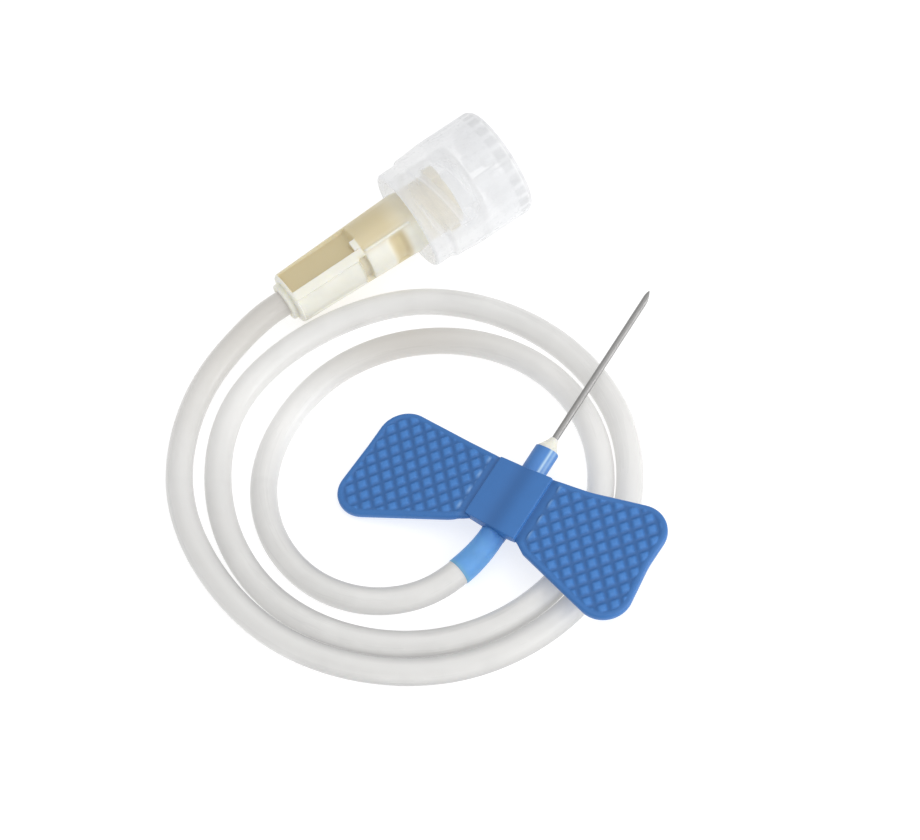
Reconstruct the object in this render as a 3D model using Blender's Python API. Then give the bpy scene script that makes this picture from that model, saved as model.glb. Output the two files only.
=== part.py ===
"""Butterfly needle: a winged infusion set with its coiled tube and its capped luer connector.

The set lies as it does on a table. The tube is coiled flat on the surface, one wing tip is down,
the other wing and the needle pass over the coil, and the connector leans on the rim of its cap.
Metres, +Z up, with the surface at Z = 0.
"""
import math

import bmesh
import bpy
import numpy as np
from mathutils import Matrix, Vector

MM = 0.001

# Where the pieces lie. Headings turn from +X towards +Y, and pitch raises the front end.
SET_POINT = (0.74 * MM, -4.56 * MM, 4.22 * MM)
SET_HEADING = math.radians(59.3)
SET_PITCH = math.radians(4.0)
SET_ROLL = math.radians(-9.0)
COIL_CENTRE = (-9.03 * MM, -1.69 * MM)
HUB_POINT = (-21.00 * MM, 18.06 * MM, 2.80 * MM)
HUB_HEADING = math.radians(34.0)
HUB_PITCH = math.radians(9.2)
HUB_ROLL = math.radians(33.0)

# Clearances: end faces that meet, and round pieces that fit in one another. Small chamfers.
FACE_GAP = 0.30 * MM
FIT = 0.05 * MM
CHAMFER = 0.10 * MM

# Needle: a thin-walled steel tube, ground to a lancet point.
NEEDLE_D = 0.64 * MM
NEEDLE_BORE_D = 0.40 * MM
NEEDLE_FREE = 18.7 * MM
NEEDLE_SEATED = 5.4 * MM
BEVEL_ANGLE = math.radians(16.0)
LANCET_ANGLE = math.radians(23.0)
LANCET_TURN = math.radians(38.0)
LANCET_REACH = 0.45

# Needle holder: an ivory stem in the barrel with a short cone in front of it.
HOLDER_NOSE = 1.25 * MM
HOLDER_TIP_D = 0.90 * MM
HOLDER_FLANGE = 0.10 * MM
HOLDER_STEM_D = 1.50 * MM
HOLDER_STEM = 4.6 * MM
HOLDER_CONE = 0.70

# Barrel: the blue tube under the wings.
BARREL_D = 2.40 * MM
BARREL_FRONT = 6.65 * MM
BARREL_REAR = 2.60 * MM
BARREL_FLOW_D = 1.00 * MM
BARREL_DROP = 1.75 * MM

# Saddle: the band that joins the wings, with a half sleeve below it for the barrel.
SADDLE_HALF_WIDTH = 2.75 * MM
SADDLE_FRONT = 3.40 * MM
SADDLE_REAR = 3.60 * MM
SADDLE_WALL = 0.50 * MM
SADDLE_SHOULDER = 0.45 * MM
SADDLE_DISH = 0.06 * MM
SADDLE_STEEPEST = 0.9
PLATE = 0.90 * MM

# Living hinges: a thin web, turning about a line in its middle.
WEB = 0.40 * MM
WEB_RUN = 0.65 * MM
WEB_LEVEL = 0.62
HINGE_GAP_IN = 0.25 * MM
HINGE_GAP_OUT = 0.20 * MM
WING_DROOP = math.radians(2.5)

# Wing outline as corners (outward, forward, radius), with the hollow sides as wide corners.
WING_CORNERS = (
    (0.00 * MM, 3.40 * MM, 0.35 * MM),
    (3.40 * MM, 3.75 * MM, -14.0 * MM),
    (12.27 * MM, 5.30 * MM, 2.80 * MM),
    (12.07 * MM, -0.60 * MM, -10.0 * MM),
    (12.92 * MM, -9.20 * MM, 2.75 * MM),
    (1.00 * MM, -4.45 * MM, 1.00 * MM),
    (0.00 * MM, -3.90 * MM, 0.35 * MM),
)
WING_EDGE = 0.22 * MM
EDGE_KNEE = 0.3
WING_RIM = 0.60 * MM
RIM_SLOPE = 0.16 * MM
RECESS = 0.24 * MM

# Pebble pattern: blunt square studs on a diamond lattice.
STUD_PITCH_OUT = 1.62 * MM
STUD_PITCH_ALONG = 1.86 * MM
STUD_BASE = 1.10 * MM
STUD_TOP = 0.68 * MM
STUD_CORNER = 0.22
STUD_MARGIN = 0.42 * MM
STUD_ROOT = 0.20 * MM
STUD_PROUD = 0.02 * MM

# Rear sleeve: soft translucent blue, from the barrel to the start of the tube.
SLEEVE_LENGTH = 5.6 * MM
SLEEVE_STRAIGHT = 1.2 * MM
SLEEVE_FRONT_D = 2.34 * MM
SLEEVE_END_D = 2.84 * MM
SLEEVE_BORE_D = 1.20 * MM
SLEEVE_RINGS = 13
SLEEVE_SIDES = 20

# Tube: its route from the sleeve to the connector as (degrees, radius in mm, height in mm)
# about the coil's centre, running clockwise seen from above.
TUBE_D = 2.60 * MM
TUBE_STRAIGHT = 1.0 * MM
TUBE_POINTS = 74
LINE_SAMPLES = 3000
TUBE_ROUTE = (
    (311.0, 10.40, 1.83), (298.5, 10.75, 1.43), (281.0, 11.70, 1.32), (257.0, 12.85, 1.31),
    (231.0, 13.50, 1.31), (203.0, 13.50, 1.31), (175.0, 13.30, 1.31), (147.0, 13.40, 1.31),
    (121.0, 14.30, 1.31), (96.0, 15.60, 1.31), (72.0, 17.05, 1.31), (48.0, 18.30, 1.31),
    (23.0, 18.80, 1.31), (-3.0, 18.45, 1.31), (-26.0, 17.90, 1.31), (-52.0, 17.40, 1.31),
    (-78.0, 17.15, 1.31), (-104.0, 17.10, 1.31), (-131.0, 17.25, 1.31), (-157.0, 17.35, 1.31),
    (-183.0, 17.75, 1.31), (-208.0, 18.55, 1.31), (-231.0, 19.00, 1.31), (-250.0, 19.65, 1.31),
    (-272.0, 20.85, 1.31), (-294.0, 21.45, 1.31), (-318.0, 21.75, 1.31), (-341.0, 21.70, 1.31),
    (-364.0, 21.15, 1.31), (-387.0, 20.65, 1.31), (-410.0, 20.25, 1.31), (-434.0, 20.05, 1.31),
    (-460.0, 19.85, 1.31), (-486.0, 20.00, 1.31), (-512.0, 20.30, 1.31), (-535.0, 21.15, 1.31),
    (-555.0, 21.80, 1.34), (-573.5, 22.42, 1.62), (-584.0, 22.68, 2.02),
)

# Luer hub: an ivory moulding, ribbed behind and round in front, with a female taper.
HUB_LENGTH = 19.4 * MM
HUB_LIP_D = 3.90 * MM
HUB_LIP = 0.60 * MM
HUB_REAR_D = 5.40 * MM
HUB_FRONT_D = 6.30 * MM
HUB_FRONT_AT = 14.2 * MM
HUB_TIP_D = 6.00 * MM
HUB_CORE_D = 4.10 * MM
HUB_FLOW_D = 1.50 * MM
HUB_EDGE = 0.20 * MM
HUB_SHOULDER = 0.35 * MM
HUB_TIP_RUN = 1.20 * MM
LUER_MOUTH_D = 4.30 * MM
LUER_DEPTH = 7.8 * MM
LUER_TAPER = 0.06
RIB_WIDTH = 1.00 * MM
RIB_START = 0.95 * MM
RIB_END = 8.85 * MM
PANEL_SINK = 0.25 * MM
PANEL_END = 8.0 * MM
BLOCK_START = 8.2 * MM
BLOCK_ANGLE = math.radians(22.0)
WINDOW_START = 11.6 * MM
WINDOW_END = 13.1 * MM
WINDOW_FLOOR_D = 5.10 * MM
RIDGE_WIDTH = 0.30 * MM
RIDGE_PROUD = 0.15 * MM
RIDGE_ROOT = 0.30 * MM
BAY_OVERLAP = 0.05 * MM
LUG_WIDTH = 2.00 * MM
LUG_LENGTH = 1.20 * MM
LUG_D = 7.80 * MM
LUG_EDGE = 0.15 * MM
LUG_TURN = math.radians(-50.0)

# Luer cap: clear, with a collar, a gripped body, a male cone inside and pockets in its end.
CAP_AT = 14.55 * MM
CAP_LENGTH = 11.2 * MM
CAP_COLLAR_D = 10.5 * MM
CAP_COLLAR = 2.10 * MM
CAP_STEP_D = 11.1 * MM
CAP_STEP = 4.30 * MM
CAP_BODY_D = 11.5 * MM
CAP_ROUND = 0.90 * MM
CAP_RIM_ROUND = 0.35 * MM
CAP_SOFT = 0.25 * MM
CAP_CAVITY_D = 8.50 * MM
CAP_FLOOR_AT = 7.00 * MM
CONE_TIP_D = 3.90 * MM
CONE_AT = 0.80 * MM
POCKETS = 12
POCKET_DEPTH = 2.60 * MM
POCKET_IN_D = 5.60 * MM
POCKET_OUT_D = 9.60 * MM
POCKET_WALL = 0.60 * MM
GROOVES = 12
GROOVE_WIDTH = 0.90 * MM
GROOVE_DEPTH = 0.18 * MM

ROUND_SIDES = 28
NEEDLE_SIDES = 20
CAP_SIDES = 48


def material(name, colour, roughness, metallic=0.0, alpha=1.0):
    """Return a plain material with the piece's own colour and finish."""
    found = bpy.data.materials.get(name)
    if found:
        return found
    made = bpy.data.materials.new(name)
    made.use_nodes = True
    shader = made.node_tree.nodes["Principled BSDF"]
    shader.inputs["Base Color"].default_value = (*colour, 1.0)
    shader.inputs["Roughness"].default_value = roughness
    shader.inputs["Metallic"].default_value = metallic
    shader.inputs["Alpha"].default_value = alpha
    return made


def steel():
    return material("needle_steel", (0.52, 0.52, 0.54), 0.25, metallic=1.0)


def ivory():
    return material("ivory_plastic", (0.86, 0.80, 0.62), 0.35)


def wing_blue():
    return material("wing_blue", (0.06, 0.20, 0.55), 0.45)


def sleeve_blue():
    return material("sleeve_blue", (0.16, 0.38, 0.72), 0.35, alpha=0.9)


def clear_tube():
    return material("clear_tube", (0.86, 0.86, 0.84), 0.25, alpha=0.7)


def clear_cap():
    return material("clear_cap", (0.93, 0.94, 0.95), 0.2, alpha=0.45)


def add_object(name, bm, finish, parent=None, location=(0.0, 0.0, 0.0), turn=0.0):
    """Turn a bmesh into a smooth-shaded object, under its parent, turned about its own Y axis."""
    bmesh.ops.recalc_face_normals(bm, faces=bm.faces)
    mesh = bpy.data.meshes.new(name)
    bm.to_mesh(mesh)
    bm.free()
    mesh.materials.append(finish)
    mesh.shade_smooth()
    mesh.set_sharp_from_angle(angle=math.radians(35.0))
    obj = bpy.data.objects.new(name, mesh)
    bpy.context.scene.collection.objects.link(obj)
    obj.parent = parent
    obj.location = location
    obj.rotation_euler = (0.0, turn, 0.0)
    return obj


def add_frame(name, point, heading, pitch, roll):
    """Add an empty whose +Y runs along the heading, raised by pitch and rolled about itself."""
    empty = bpy.data.objects.new(name, None)
    empty.empty_display_size = 5.0 * MM
    empty.rotation_mode = "YXZ"
    empty.location = point
    empty.rotation_euler = (pitch, roll, heading - math.pi / 2)
    bpy.context.scene.collection.objects.link(empty)
    return empty


def combine(target, tool, operation):
    """Join a hidden tool to the target, or cut it away, with a live Boolean."""
    tool.hide_render = True
    tool.display_type = "WIRE"
    step = target.modifiers.new(tool.name, "BOOLEAN")
    step.operation = operation
    step.solver = "EXACT"
    step.object = tool


def skin(bm, rings, closed_loop=False):
    """Join rings of equal length with quads. The ends are capped, or joined to each other."""
    made = [[bm.verts.new(point) for point in ring] for ring in rings]
    count = len(made[0])
    pairs = list(zip(made[:-1], made[1:]))
    if closed_loop:
        pairs.append((made[-1], made[0]))
    else:
        bm.faces.new(made[0])
        bm.faces.new(made[-1])
    for one, two in pairs:
        for i in range(count):
            j = (i + 1) % count
            bm.faces.new((one[i], one[j], two[j], two[i]))


def circle(radius, along, sides, height=0.0):
    """Points round the Y axis of a frame, raised by height."""
    return [
        (radius * math.cos(2 * math.pi * i / sides), along,
         radius * math.sin(2 * math.pi * i / sides) + height)
        for i in range(sides)
    ]


def turned(profile, sides, height=0.0):
    """Turn a closed profile of (radius, along) about Y. Points on the axis become poles."""
    bm = bmesh.new()
    rows = []
    for radius, along in profile:
        if radius > 0.0:
            rows.append([bm.verts.new(point) for point in circle(radius, along, sides, height)])
        else:
            rows.append([bm.verts.new((0.0, along, height))])
    pairs = zip(rows, rows[1:] + rows[:1])
    for one, two in pairs:
        if len(one) == 1 and len(two) == 1:
            continue
        for i in range(sides):
            j = (i + 1) % sides
            corners = [one[i % len(one)], one[j % len(one)], two[j % len(two)], two[i % len(two)]]
            bm.faces.new(list(dict.fromkeys(corners)))
    return bm


def fillet(centre, radius, start, end, steps):
    """Points of a round corner in a turned profile, from one angle to another in degrees."""
    return [
        (centre[0] + radius * math.cos(math.radians(a)), centre[1] + radius * math.sin(math.radians(a)))
        for a in np.linspace(start, end, steps)
    ]


def rounded_outline(corners, inset, steps=6):
    """Return a closed outline through corners (x, y, radius), moved inwards by inset.

    A positive radius is an outer corner. A negative one is a hollow corner, whose arc grows
    with the inset. Every inset gives the same number of points, so outlines can be joined.
    """
    points = np.array([c[:2] for c in corners])
    count = len(points)
    ahead = np.roll(points, -1, axis=0) - points
    ahead /= np.linalg.norm(ahead, axis=1)[:, None]
    inward = np.stack([ahead[:, 1], -ahead[:, 0]], axis=1)
    outline = []
    for i in range(count):
        in_before, in_after = inward[i - 1], inward[i]
        bisector = in_before + in_after
        bisector /= bisector @ in_before
        corner = points[i] + bisector * inset
        radius = corners[i][2]
        size = max(radius - inset, 0.05 * MM) if radius > 0 else -(abs(radius) + inset)
        centre = corner + bisector * size
        first = centre - in_before * size
        last = centre - in_after * size
        a0 = math.atan2(*(first - centre)[::-1])
        a1 = math.atan2(*(last - centre)[::-1])
        sweep = (a1 - a0 + math.pi) % (2 * math.pi) - math.pi
        for k in range(steps):
            angle = a0 + sweep * k / (steps - 1)
            outline.append((centre[0] + abs(size) * math.cos(angle),
                            centre[1] + abs(size) * math.sin(angle)))
    return outline


def inside(point, outline):
    """Tell whether a point lies inside a closed outline."""
    x, y = point
    hit = False
    for (x0, y0), (x1, y1) in zip(outline, outline[1:] + outline[:1]):
        if (y0 > y) != (y1 > y) and x < x0 + (y - y0) * (x1 - x0) / (y1 - y0):
            hit = not hit
    return hit


def sector_cutter(name, parent, turn, half_angle, start, end, inner, outer, steps=4):
    """A block between two radii, swept over an angle about Y. Turn 0 points along +Z."""
    bm = bmesh.new()
    rings = []
    for along in (start, end):
        angles = np.linspace(turn - half_angle, turn + half_angle, steps)
        ring = [(outer * math.sin(a), along, outer * math.cos(a)) for a in angles]
        ring += [(inner * math.sin(a), along, inner * math.cos(a)) for a in angles[::-1]]
        rings.append(ring)
    skin(bm, rings)
    return add_object(name, bm, ivory(), parent)


def merged_tools(name, tools):
    """Join several separate tool objects into one mesh, so one Boolean uses them all."""
    bm = bmesh.new()
    for tool in tools:
        bm.from_mesh(tool.data)
    joined = add_object(name, bm, ivory(), tools[0].parent)
    for tool in tools:
        bpy.data.objects.remove(tool)
    return joined


def smooth_curve(points, samples):
    """Sample a natural cubic spline through points, evenly along its length."""
    knots = np.array(points, dtype=float)
    chord = np.concatenate([[0.0], np.cumsum(np.linalg.norm(np.diff(knots, axis=0), axis=1))])
    step = np.diff(chord)
    count = len(knots)
    system = np.eye(count)
    right = np.zeros_like(knots)
    slope = np.diff(knots, axis=0) / step[:, None]
    for i in range(1, count - 1):
        system[i, i - 1:i + 2] = (step[i - 1], 2 * (step[i - 1] + step[i]), step[i])
        right[i] = 6 * (slope[i] - slope[i - 1])
    bend = np.linalg.solve(system, right)
    fine = np.linspace(0.0, chord[-1], 2 * samples)
    span = np.clip(np.searchsorted(chord, fine, side="right") - 1, 0, count - 2)
    width = step[span][:, None]
    b = (fine - chord[span])[:, None] / width
    a = 1.0 - b
    curve = (a * knots[span] + b * knots[span + 1]
             + ((a ** 3 - a) * bend[span] + (b ** 3 - b) * bend[span + 1]) * width ** 2 / 6.0)
    length = np.concatenate([[0.0], np.cumsum(np.linalg.norm(np.diff(curve, axis=0), axis=1))])
    even = np.linspace(0.0, length[-1], samples)
    return np.stack([np.interp(even, length, curve[:, k]) for k in range(3)], axis=1), length[-1]


def build_needle(frame):
    """Steel tube. One long bevel, on the side away from the wings, and two side bevels end it."""
    front = BARREL_FRONT + HOLDER_NOSE + NEEDLE_FREE
    back = BARREL_FRONT - NEEDLE_SEATED

    def ground(point):
        x, _, z = point
        height = NEEDLE_D / 2 - BARREL_DROP - z
        reach = front - height / math.tan(BEVEL_ANGLE)
        side = abs(x) * math.sin(LANCET_TURN) + height * math.cos(LANCET_TURN)
        lancet = front - side / math.tan(LANCET_ANGLE)
        return (x, max(min(reach, lancet), reach - LANCET_REACH * NEEDLE_D), z)

    rings = [
        circle(NEEDLE_D / 2, back, NEEDLE_SIDES, -BARREL_DROP),
        [ground(p) for p in circle(NEEDLE_D / 2, front, NEEDLE_SIDES, -BARREL_DROP)],
        [ground(p) for p in circle(NEEDLE_BORE_D / 2, front, NEEDLE_SIDES, -BARREL_DROP)],
        circle(NEEDLE_BORE_D / 2, back, NEEDLE_SIDES, -BARREL_DROP),
    ]
    bm = bmesh.new()
    skin(bm, rings, closed_loop=True)
    return add_object("needle_tube", bm, steel(), frame)


def build_holder(frame):
    """Ivory stem with a flange on the barrel's end and a cone that the needle leaves by."""
    bore = NEEDLE_D / 2 + FIT
    stem = HOLDER_STEM_D / 2
    flange = BARREL_D / 2 - FIT
    start = BARREL_FRONT - HOLDER_STEM
    profile = [
        (bore, start), (stem - CHAMFER, start), (stem, start + CHAMFER),
        (stem, BARREL_FRONT + FIT), (flange, BARREL_FRONT + FIT),
        (flange, BARREL_FRONT + FIT + HOLDER_FLANGE),
        (flange * HOLDER_CONE, BARREL_FRONT + HOLDER_NOSE / 2),
        (HOLDER_TIP_D / 2, BARREL_FRONT + HOLDER_NOSE - CHAMFER),
        (HOLDER_TIP_D / 2 - CHAMFER / 2, BARREL_FRONT + HOLDER_NOSE),
        (bore, BARREL_FRONT + HOLDER_NOSE),
    ]
    return add_object("needle_holder", turned(profile, ROUND_SIDES, -BARREL_DROP), ivory(), frame)


def build_barrel(frame):
    """Blue tube with a socket for the holder in front and a narrower bore behind it."""
    outer = BARREL_D / 2
    socket = HOLDER_STEM_D / 2 + FIT
    flow = BARREL_FLOW_D / 2
    floor = BARREL_FRONT - HOLDER_STEM - FACE_GAP
    edge = CHAMFER
    profile = [
        (flow, -BARREL_REAR), (outer - edge, -BARREL_REAR), (outer, -BARREL_REAR + edge),
        (outer, BARREL_FRONT - edge), (outer - edge, BARREL_FRONT),
        (socket, BARREL_FRONT), (socket, floor), (flow, floor),
    ]
    return add_object("hub_barrel", turned(profile, ROUND_SIDES, -BARREL_DROP), wing_blue(), frame)


def web_levels():
    """Top and bottom of the living hinge's web, as heights in the set's frame."""
    middle = -WEB_LEVEL * PLATE
    return middle + WEB / 2, middle - WEB / 2


def build_saddle(frame):
    """Band between the wings: a top with two shallow dishes, and a half sleeve below."""
    top, bottom = web_levels()
    half = SADDLE_HALF_WIDTH
    sleeve = BARREL_D / 2 + FIT + SADDLE_WALL
    flat = half - WEB_RUN
    drop = -BARREL_DROP
    join = math.asin(min(SADDLE_STEEPEST, (BARREL_DROP - PLATE) / sleeve))
    arc = np.linspace(join, -math.pi - join, 17)
    section = [(-half, top), (-flat - CHAMFER, -CHAMFER), (-flat + CHAMFER, 0.0),
               (-flat + SADDLE_SHOULDER, 0.0), (-flat / 2, -SADDLE_DISH), (0.0, 0.0),
               (flat / 2, -SADDLE_DISH), (flat - SADDLE_SHOULDER, 0.0), (flat - CHAMFER, 0.0),
               (flat + CHAMFER, -CHAMFER), (half, top), (half, bottom), (flat, -PLATE)]
    section += [(sleeve * math.cos(a), drop + sleeve * math.sin(a)) for a in arc]
    section += [(-flat, -PLATE), (-half, bottom)]
    edge = 2 * CHAMFER
    centre = (0.0, -0.5 * (BARREL_DROP + sleeve))
    shrink = 1.0 - edge / half
    rounded = [(centre[0] + (x - centre[0]) * shrink, centre[1] + (z - centre[1]) * shrink)
               for x, z in section]
    rows = ((-SADDLE_REAR, rounded), (-SADDLE_REAR + edge, section),
            (SADDLE_FRONT - edge, section), (SADDLE_FRONT, rounded))
    bm = bmesh.new()
    skin(bm, [[(x, along, z) for x, z in outline] for along, outline in rows])
    saddle = add_object("wing_saddle", bm, wing_blue(), frame)
    bore = bmesh.new()
    reach = 2 * (SADDLE_FRONT + SADDLE_REAR)
    skin(bore, [circle(BARREL_D / 2 + FIT, along, ROUND_SIDES, -BARREL_DROP)
                for along in (-reach, reach)])
    combine(saddle, add_object("saddle_bore", bore, wing_blue(), frame), "DIFFERENCE")
    return saddle


def stud_centres(outline):
    """Centres of the pebble studs: a diamond lattice, kept inside the given outline."""
    reach_out = max(x for x, _ in outline)
    reach_along = max(abs(y) for _, y in outline)
    centres = []
    for i in range(-1, int(2 * reach_out / STUD_PITCH_OUT) + 2):
        half = int(reach_along / STUD_PITCH_ALONG) + 1
        shift = 0.5 * (i % 2)
        for j in range(-half, half + 1):
            centre = (i * STUD_PITCH_OUT / 2, (j + shift) * STUD_PITCH_ALONG)
            if inside(centre, outline):
                centres.append(centre)
    return centres


def stud_ring(centre, width, height, side):
    """A square turned to stand on its corner, with its corners cut, as a ring of eight points."""
    half = width / math.sqrt(2)
    cut = STUD_CORNER * half
    near = half - cut
    ring = [(near, cut), (cut, near), (-cut, near), (-near, cut),
            (-near, -cut), (-cut, -near), (cut, -near), (near, -cut)]
    return [((centre[0] + x) * side, centre[1] + y, height) for x, y in ring]


def build_wing(name, frame, side):
    """One wing: a plate with a raised rim, a recessed field of studs and a thin root.

    Its origin lies on the living hinge, and side is 1 on the right and -1 on the left.
    """
    top, bottom = web_levels()
    middle = (top + bottom) / 2

    def place(x, y, z):
        """Thin the plate towards its root, and count height from the hinge line."""
        part = min(1.0, max(0.0, x / WEB_RUN))
        level = top if z > -PLATE / 2 else bottom
        return ((x + HINGE_GAP_OUT) * side, y, level + (z - level) * part - middle)

    knee = WING_EDGE * EDGE_KNEE
    levels = (
        (WING_EDGE, -PLATE), (knee, -PLATE + knee), (0.0, -PLATE + WING_EDGE),
        (0.0, -WING_EDGE), (knee, -knee), (WING_EDGE, 0.0),
        (WING_RIM, 0.0), (WING_RIM + RIM_SLOPE, -RECESS),
    )
    bm = bmesh.new()
    skin(bm, [[place(x, y, z) for x, y in rounded_outline(WING_CORNERS, inset)]
              for inset, z in levels])
    hinge = (side * (SADDLE_HALF_WIDTH + HINGE_GAP_IN), 0.0, middle)
    wing = add_object(name, bm, wing_blue(), frame, hinge, side * WING_DROOP)

    field = rounded_outline(WING_CORNERS, WING_RIM + RIM_SLOPE + STUD_MARGIN)
    studs = bmesh.new()
    sunk = -RECESS - STUD_ROOT - middle
    proud = STUD_PROUD - middle
    for centre in stud_centres(field):
        seat = (centre[0] + HINGE_GAP_OUT, centre[1])
        skin(studs, [stud_ring(seat, STUD_BASE, sunk, side),
                     stud_ring(seat, STUD_TOP, proud, side)])
    tool = add_object(name + "_studs", studs, wing_blue(), frame, hinge, side * WING_DROOP)
    combine(wing, tool, "UNION")
    return wing


def tube_line(set_frame, hub_frame):
    """The line of sleeve and tube, from the barrel's rear end to the connector's end."""
    start = set_frame.matrix_world @ Vector((0.0, -BARREL_REAR - FACE_GAP, -BARREL_DROP))
    back = set_frame.matrix_world.to_3x3() @ Vector((0.0, -1.0, 0.0))
    end = hub_frame.matrix_world @ Vector((0.0, -FACE_GAP, 0.0))
    leave = hub_frame.matrix_world.to_3x3() @ Vector((0.0, -1.0, 0.0))
    points = [start, start + back * SLEEVE_STRAIGHT]
    for degrees, radius, height in TUBE_ROUTE:
        angle = math.radians(degrees)
        points.append(Vector((COIL_CENTRE[0] + radius * MM * math.cos(angle),
                              COIL_CENTRE[1] + radius * MM * math.sin(angle), height * MM)))
    points += [end + leave * TUBE_STRAIGHT, end]
    return [tuple(point) for point in points]


def sweep_ring(centre, ahead, radius, sides):
    """A circle of points square to a direction."""
    side = Vector(ahead).cross(Vector((0.0, 0.0, 1.0))).normalized()
    over = side.cross(Vector(ahead).normalized())
    return [Vector(centre) + radius * (math.cos(2 * math.pi * i / sides) * side
                                       + math.sin(2 * math.pi * i / sides) * over)
            for i in range(sides)]


def build_sleeve(line):
    """Soft sleeve on the first stretch of the tube's line, flared to grip the tube."""
    fine, length = smooth_curve(line, LINE_SAMPLES)
    last = int(round(SLEEVE_LENGTH / length * (LINE_SAMPLES - 1)))
    picks = np.linspace(0, last, SLEEVE_RINGS).astype(int)
    ahead = np.gradient(fine, axis=0)
    outer, inner = [], []
    for k, pick in enumerate(picks):
        share = k / (len(picks) - 1)
        flare = share * share * (3 - 2 * share)
        radius = (SLEEVE_FRONT_D + (SLEEVE_END_D - SLEEVE_FRONT_D) * flare) / 2
        outer.append(sweep_ring(fine[pick], ahead[pick], radius, SLEEVE_SIDES))
        inner.append(sweep_ring(fine[pick], ahead[pick], SLEEVE_BORE_D / 2, SLEEVE_SIDES))
    bm = bmesh.new()
    skin(bm, outer + inner[::-1], closed_loop=True)
    return add_object("tube_sleeve", bm, sleeve_blue())


def build_tubing(line):
    """The clear tube, from the sleeve's end round the coil to the connector."""
    fine, length = smooth_curve(line, LINE_SAMPLES)
    first = int(round((SLEEVE_LENGTH + FACE_GAP) / length * (LINE_SAMPLES - 1)))
    picks = np.linspace(first, LINE_SAMPLES - 1, TUBE_POINTS).astype(int)
    curve = bpy.data.curves.new("tubing", "CURVE")
    curve.dimensions = "3D"
    curve.bevel_depth = TUBE_D / 2
    curve.bevel_resolution = 2
    curve.use_fill_caps = True
    spline = curve.splines.new("POLY")
    spline.points.add(len(picks) - 1)
    for point, pick in zip(spline.points, picks):
        point.co = (*fine[pick], 1.0)
    curve.materials.append(clear_tube())
    obj = bpy.data.objects.new("tubing", curve)
    bpy.context.scene.collection.objects.link(obj)
    return obj


def build_hub(frame):
    """Ivory female luer: ribs and panels behind, a ridged front, two lugs and a tapered bore."""
    rear = HUB_REAR_D / 2
    front = HUB_FRONT_D / 2
    tip = HUB_TIP_D / 2
    lip = HUB_LIP_D / 2
    flow = HUB_FLOW_D / 2
    mouth = LUER_MOUTH_D / 2
    edge = HUB_EDGE
    profile = [
        (flow, 0.0), (lip - edge, 0.0), (lip, edge), (lip, HUB_LIP),
        (rear - HUB_SHOULDER, HUB_LIP), (rear, HUB_LIP + HUB_SHOULDER),
        (front, HUB_FRONT_AT), (tip, HUB_FRONT_AT + HUB_TIP_RUN),
        (tip, HUB_LENGTH - edge), (tip - edge, HUB_LENGTH), (mouth, HUB_LENGTH),
        (mouth - LUER_TAPER * LUER_DEPTH / 2, HUB_LENGTH - LUER_DEPTH),
        (flow, HUB_LENGTH - LUER_DEPTH),
    ]
    hub = add_object("luer_hub", turned(profile, ROUND_SIDES), ivory(), frame)

    core = HUB_CORE_D / 2
    beyond = HUB_FRONT_D
    half_bay = math.pi / 4 - RIB_WIDTH / 2 / rear
    half_open = half_bay - BLOCK_ANGLE / 2
    bays, slots = [], []
    for k in range(2):
        shallow = math.pi * (k + 0.25)
        deep = math.pi * (k - 0.25)
        bays += [
            sector_cutter(f"panel_{k}", frame, shallow, half_bay, RIB_START, PANEL_END,
                          rear - PANEL_SINK, beyond, steps=5),
            sector_cutter(f"bay_{k}", frame, deep, half_bay, RIB_START, BLOCK_START,
                          core, beyond, steps=5),
            sector_cutter(f"window_{k}", frame, shallow, half_bay, WINDOW_START, WINDOW_END,
                          WINDOW_FLOOR_D / 2, beyond, steps=5),
        ]
        slots += [
            sector_cutter(f"slot_{k}", frame, shallow, half_bay, PANEL_END - BAY_OVERLAP, RIB_END,
                          core, beyond, steps=5),
            sector_cutter(f"opening_{k}", frame, deep - BLOCK_ANGLE / 2, half_open,
                          BLOCK_START - BAY_OVERLAP, RIB_END, core, beyond, steps=5),
        ]
    combine(hub, merged_tools("hub_bays", bays), "DIFFERENCE")
    combine(hub, merged_tools("hub_slots", slots), "DIFFERENCE")

    ridges = bmesh.new()
    half = RIDGE_WIDTH / 2
    shoulder = HUB_LIP + HUB_SHOULDER
    behind = rear + (front - rear) * (RIB_END - shoulder) / (HUB_FRONT_AT - shoulder)
    for k in range(2):
        turn = Matrix.Rotation(k * math.pi, 3, "Y")
        skin(ridges, [[turn @ Vector(corner) for corner in (
            (-half, along, level - RIDGE_ROOT), (half, along, level - RIDGE_ROOT),
            (half, along, level + RIDGE_PROUD), (-half, along, level + RIDGE_PROUD))]
            for along, level in ((RIB_END - CHAMFER, behind), (HUB_FRONT_AT - CHAMFER, front))])
    combine(hub, add_object("hub_ridges", ridges, ivory(), frame), "UNION")

    lugs = bmesh.new()
    reach = LUG_D / 2
    for k in range(2):
        turn = Matrix.Rotation(LUG_TURN + k * math.pi, 3, "Y")
        inner = (tip + mouth) / 2
        start = HUB_LENGTH - LUG_LENGTH - CHAMFER
        rings = []
        for level, slim in ((inner, 0.0), (reach - LUG_EDGE, 0.0), (reach, LUG_EDGE)):
            half = LUG_WIDTH / 2 - slim
            rings.append([turn @ Vector(corner) for corner in (
                (-half, start + slim, level), (half, start + slim, level),
                (half, start + LUG_LENGTH - slim, level), (-half, start + LUG_LENGTH - slim, level))])
        skin(lugs, rings)
    combine(hub, add_object("hub_lugs", lugs, ivory(), frame), "UNION")
    return hub


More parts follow.
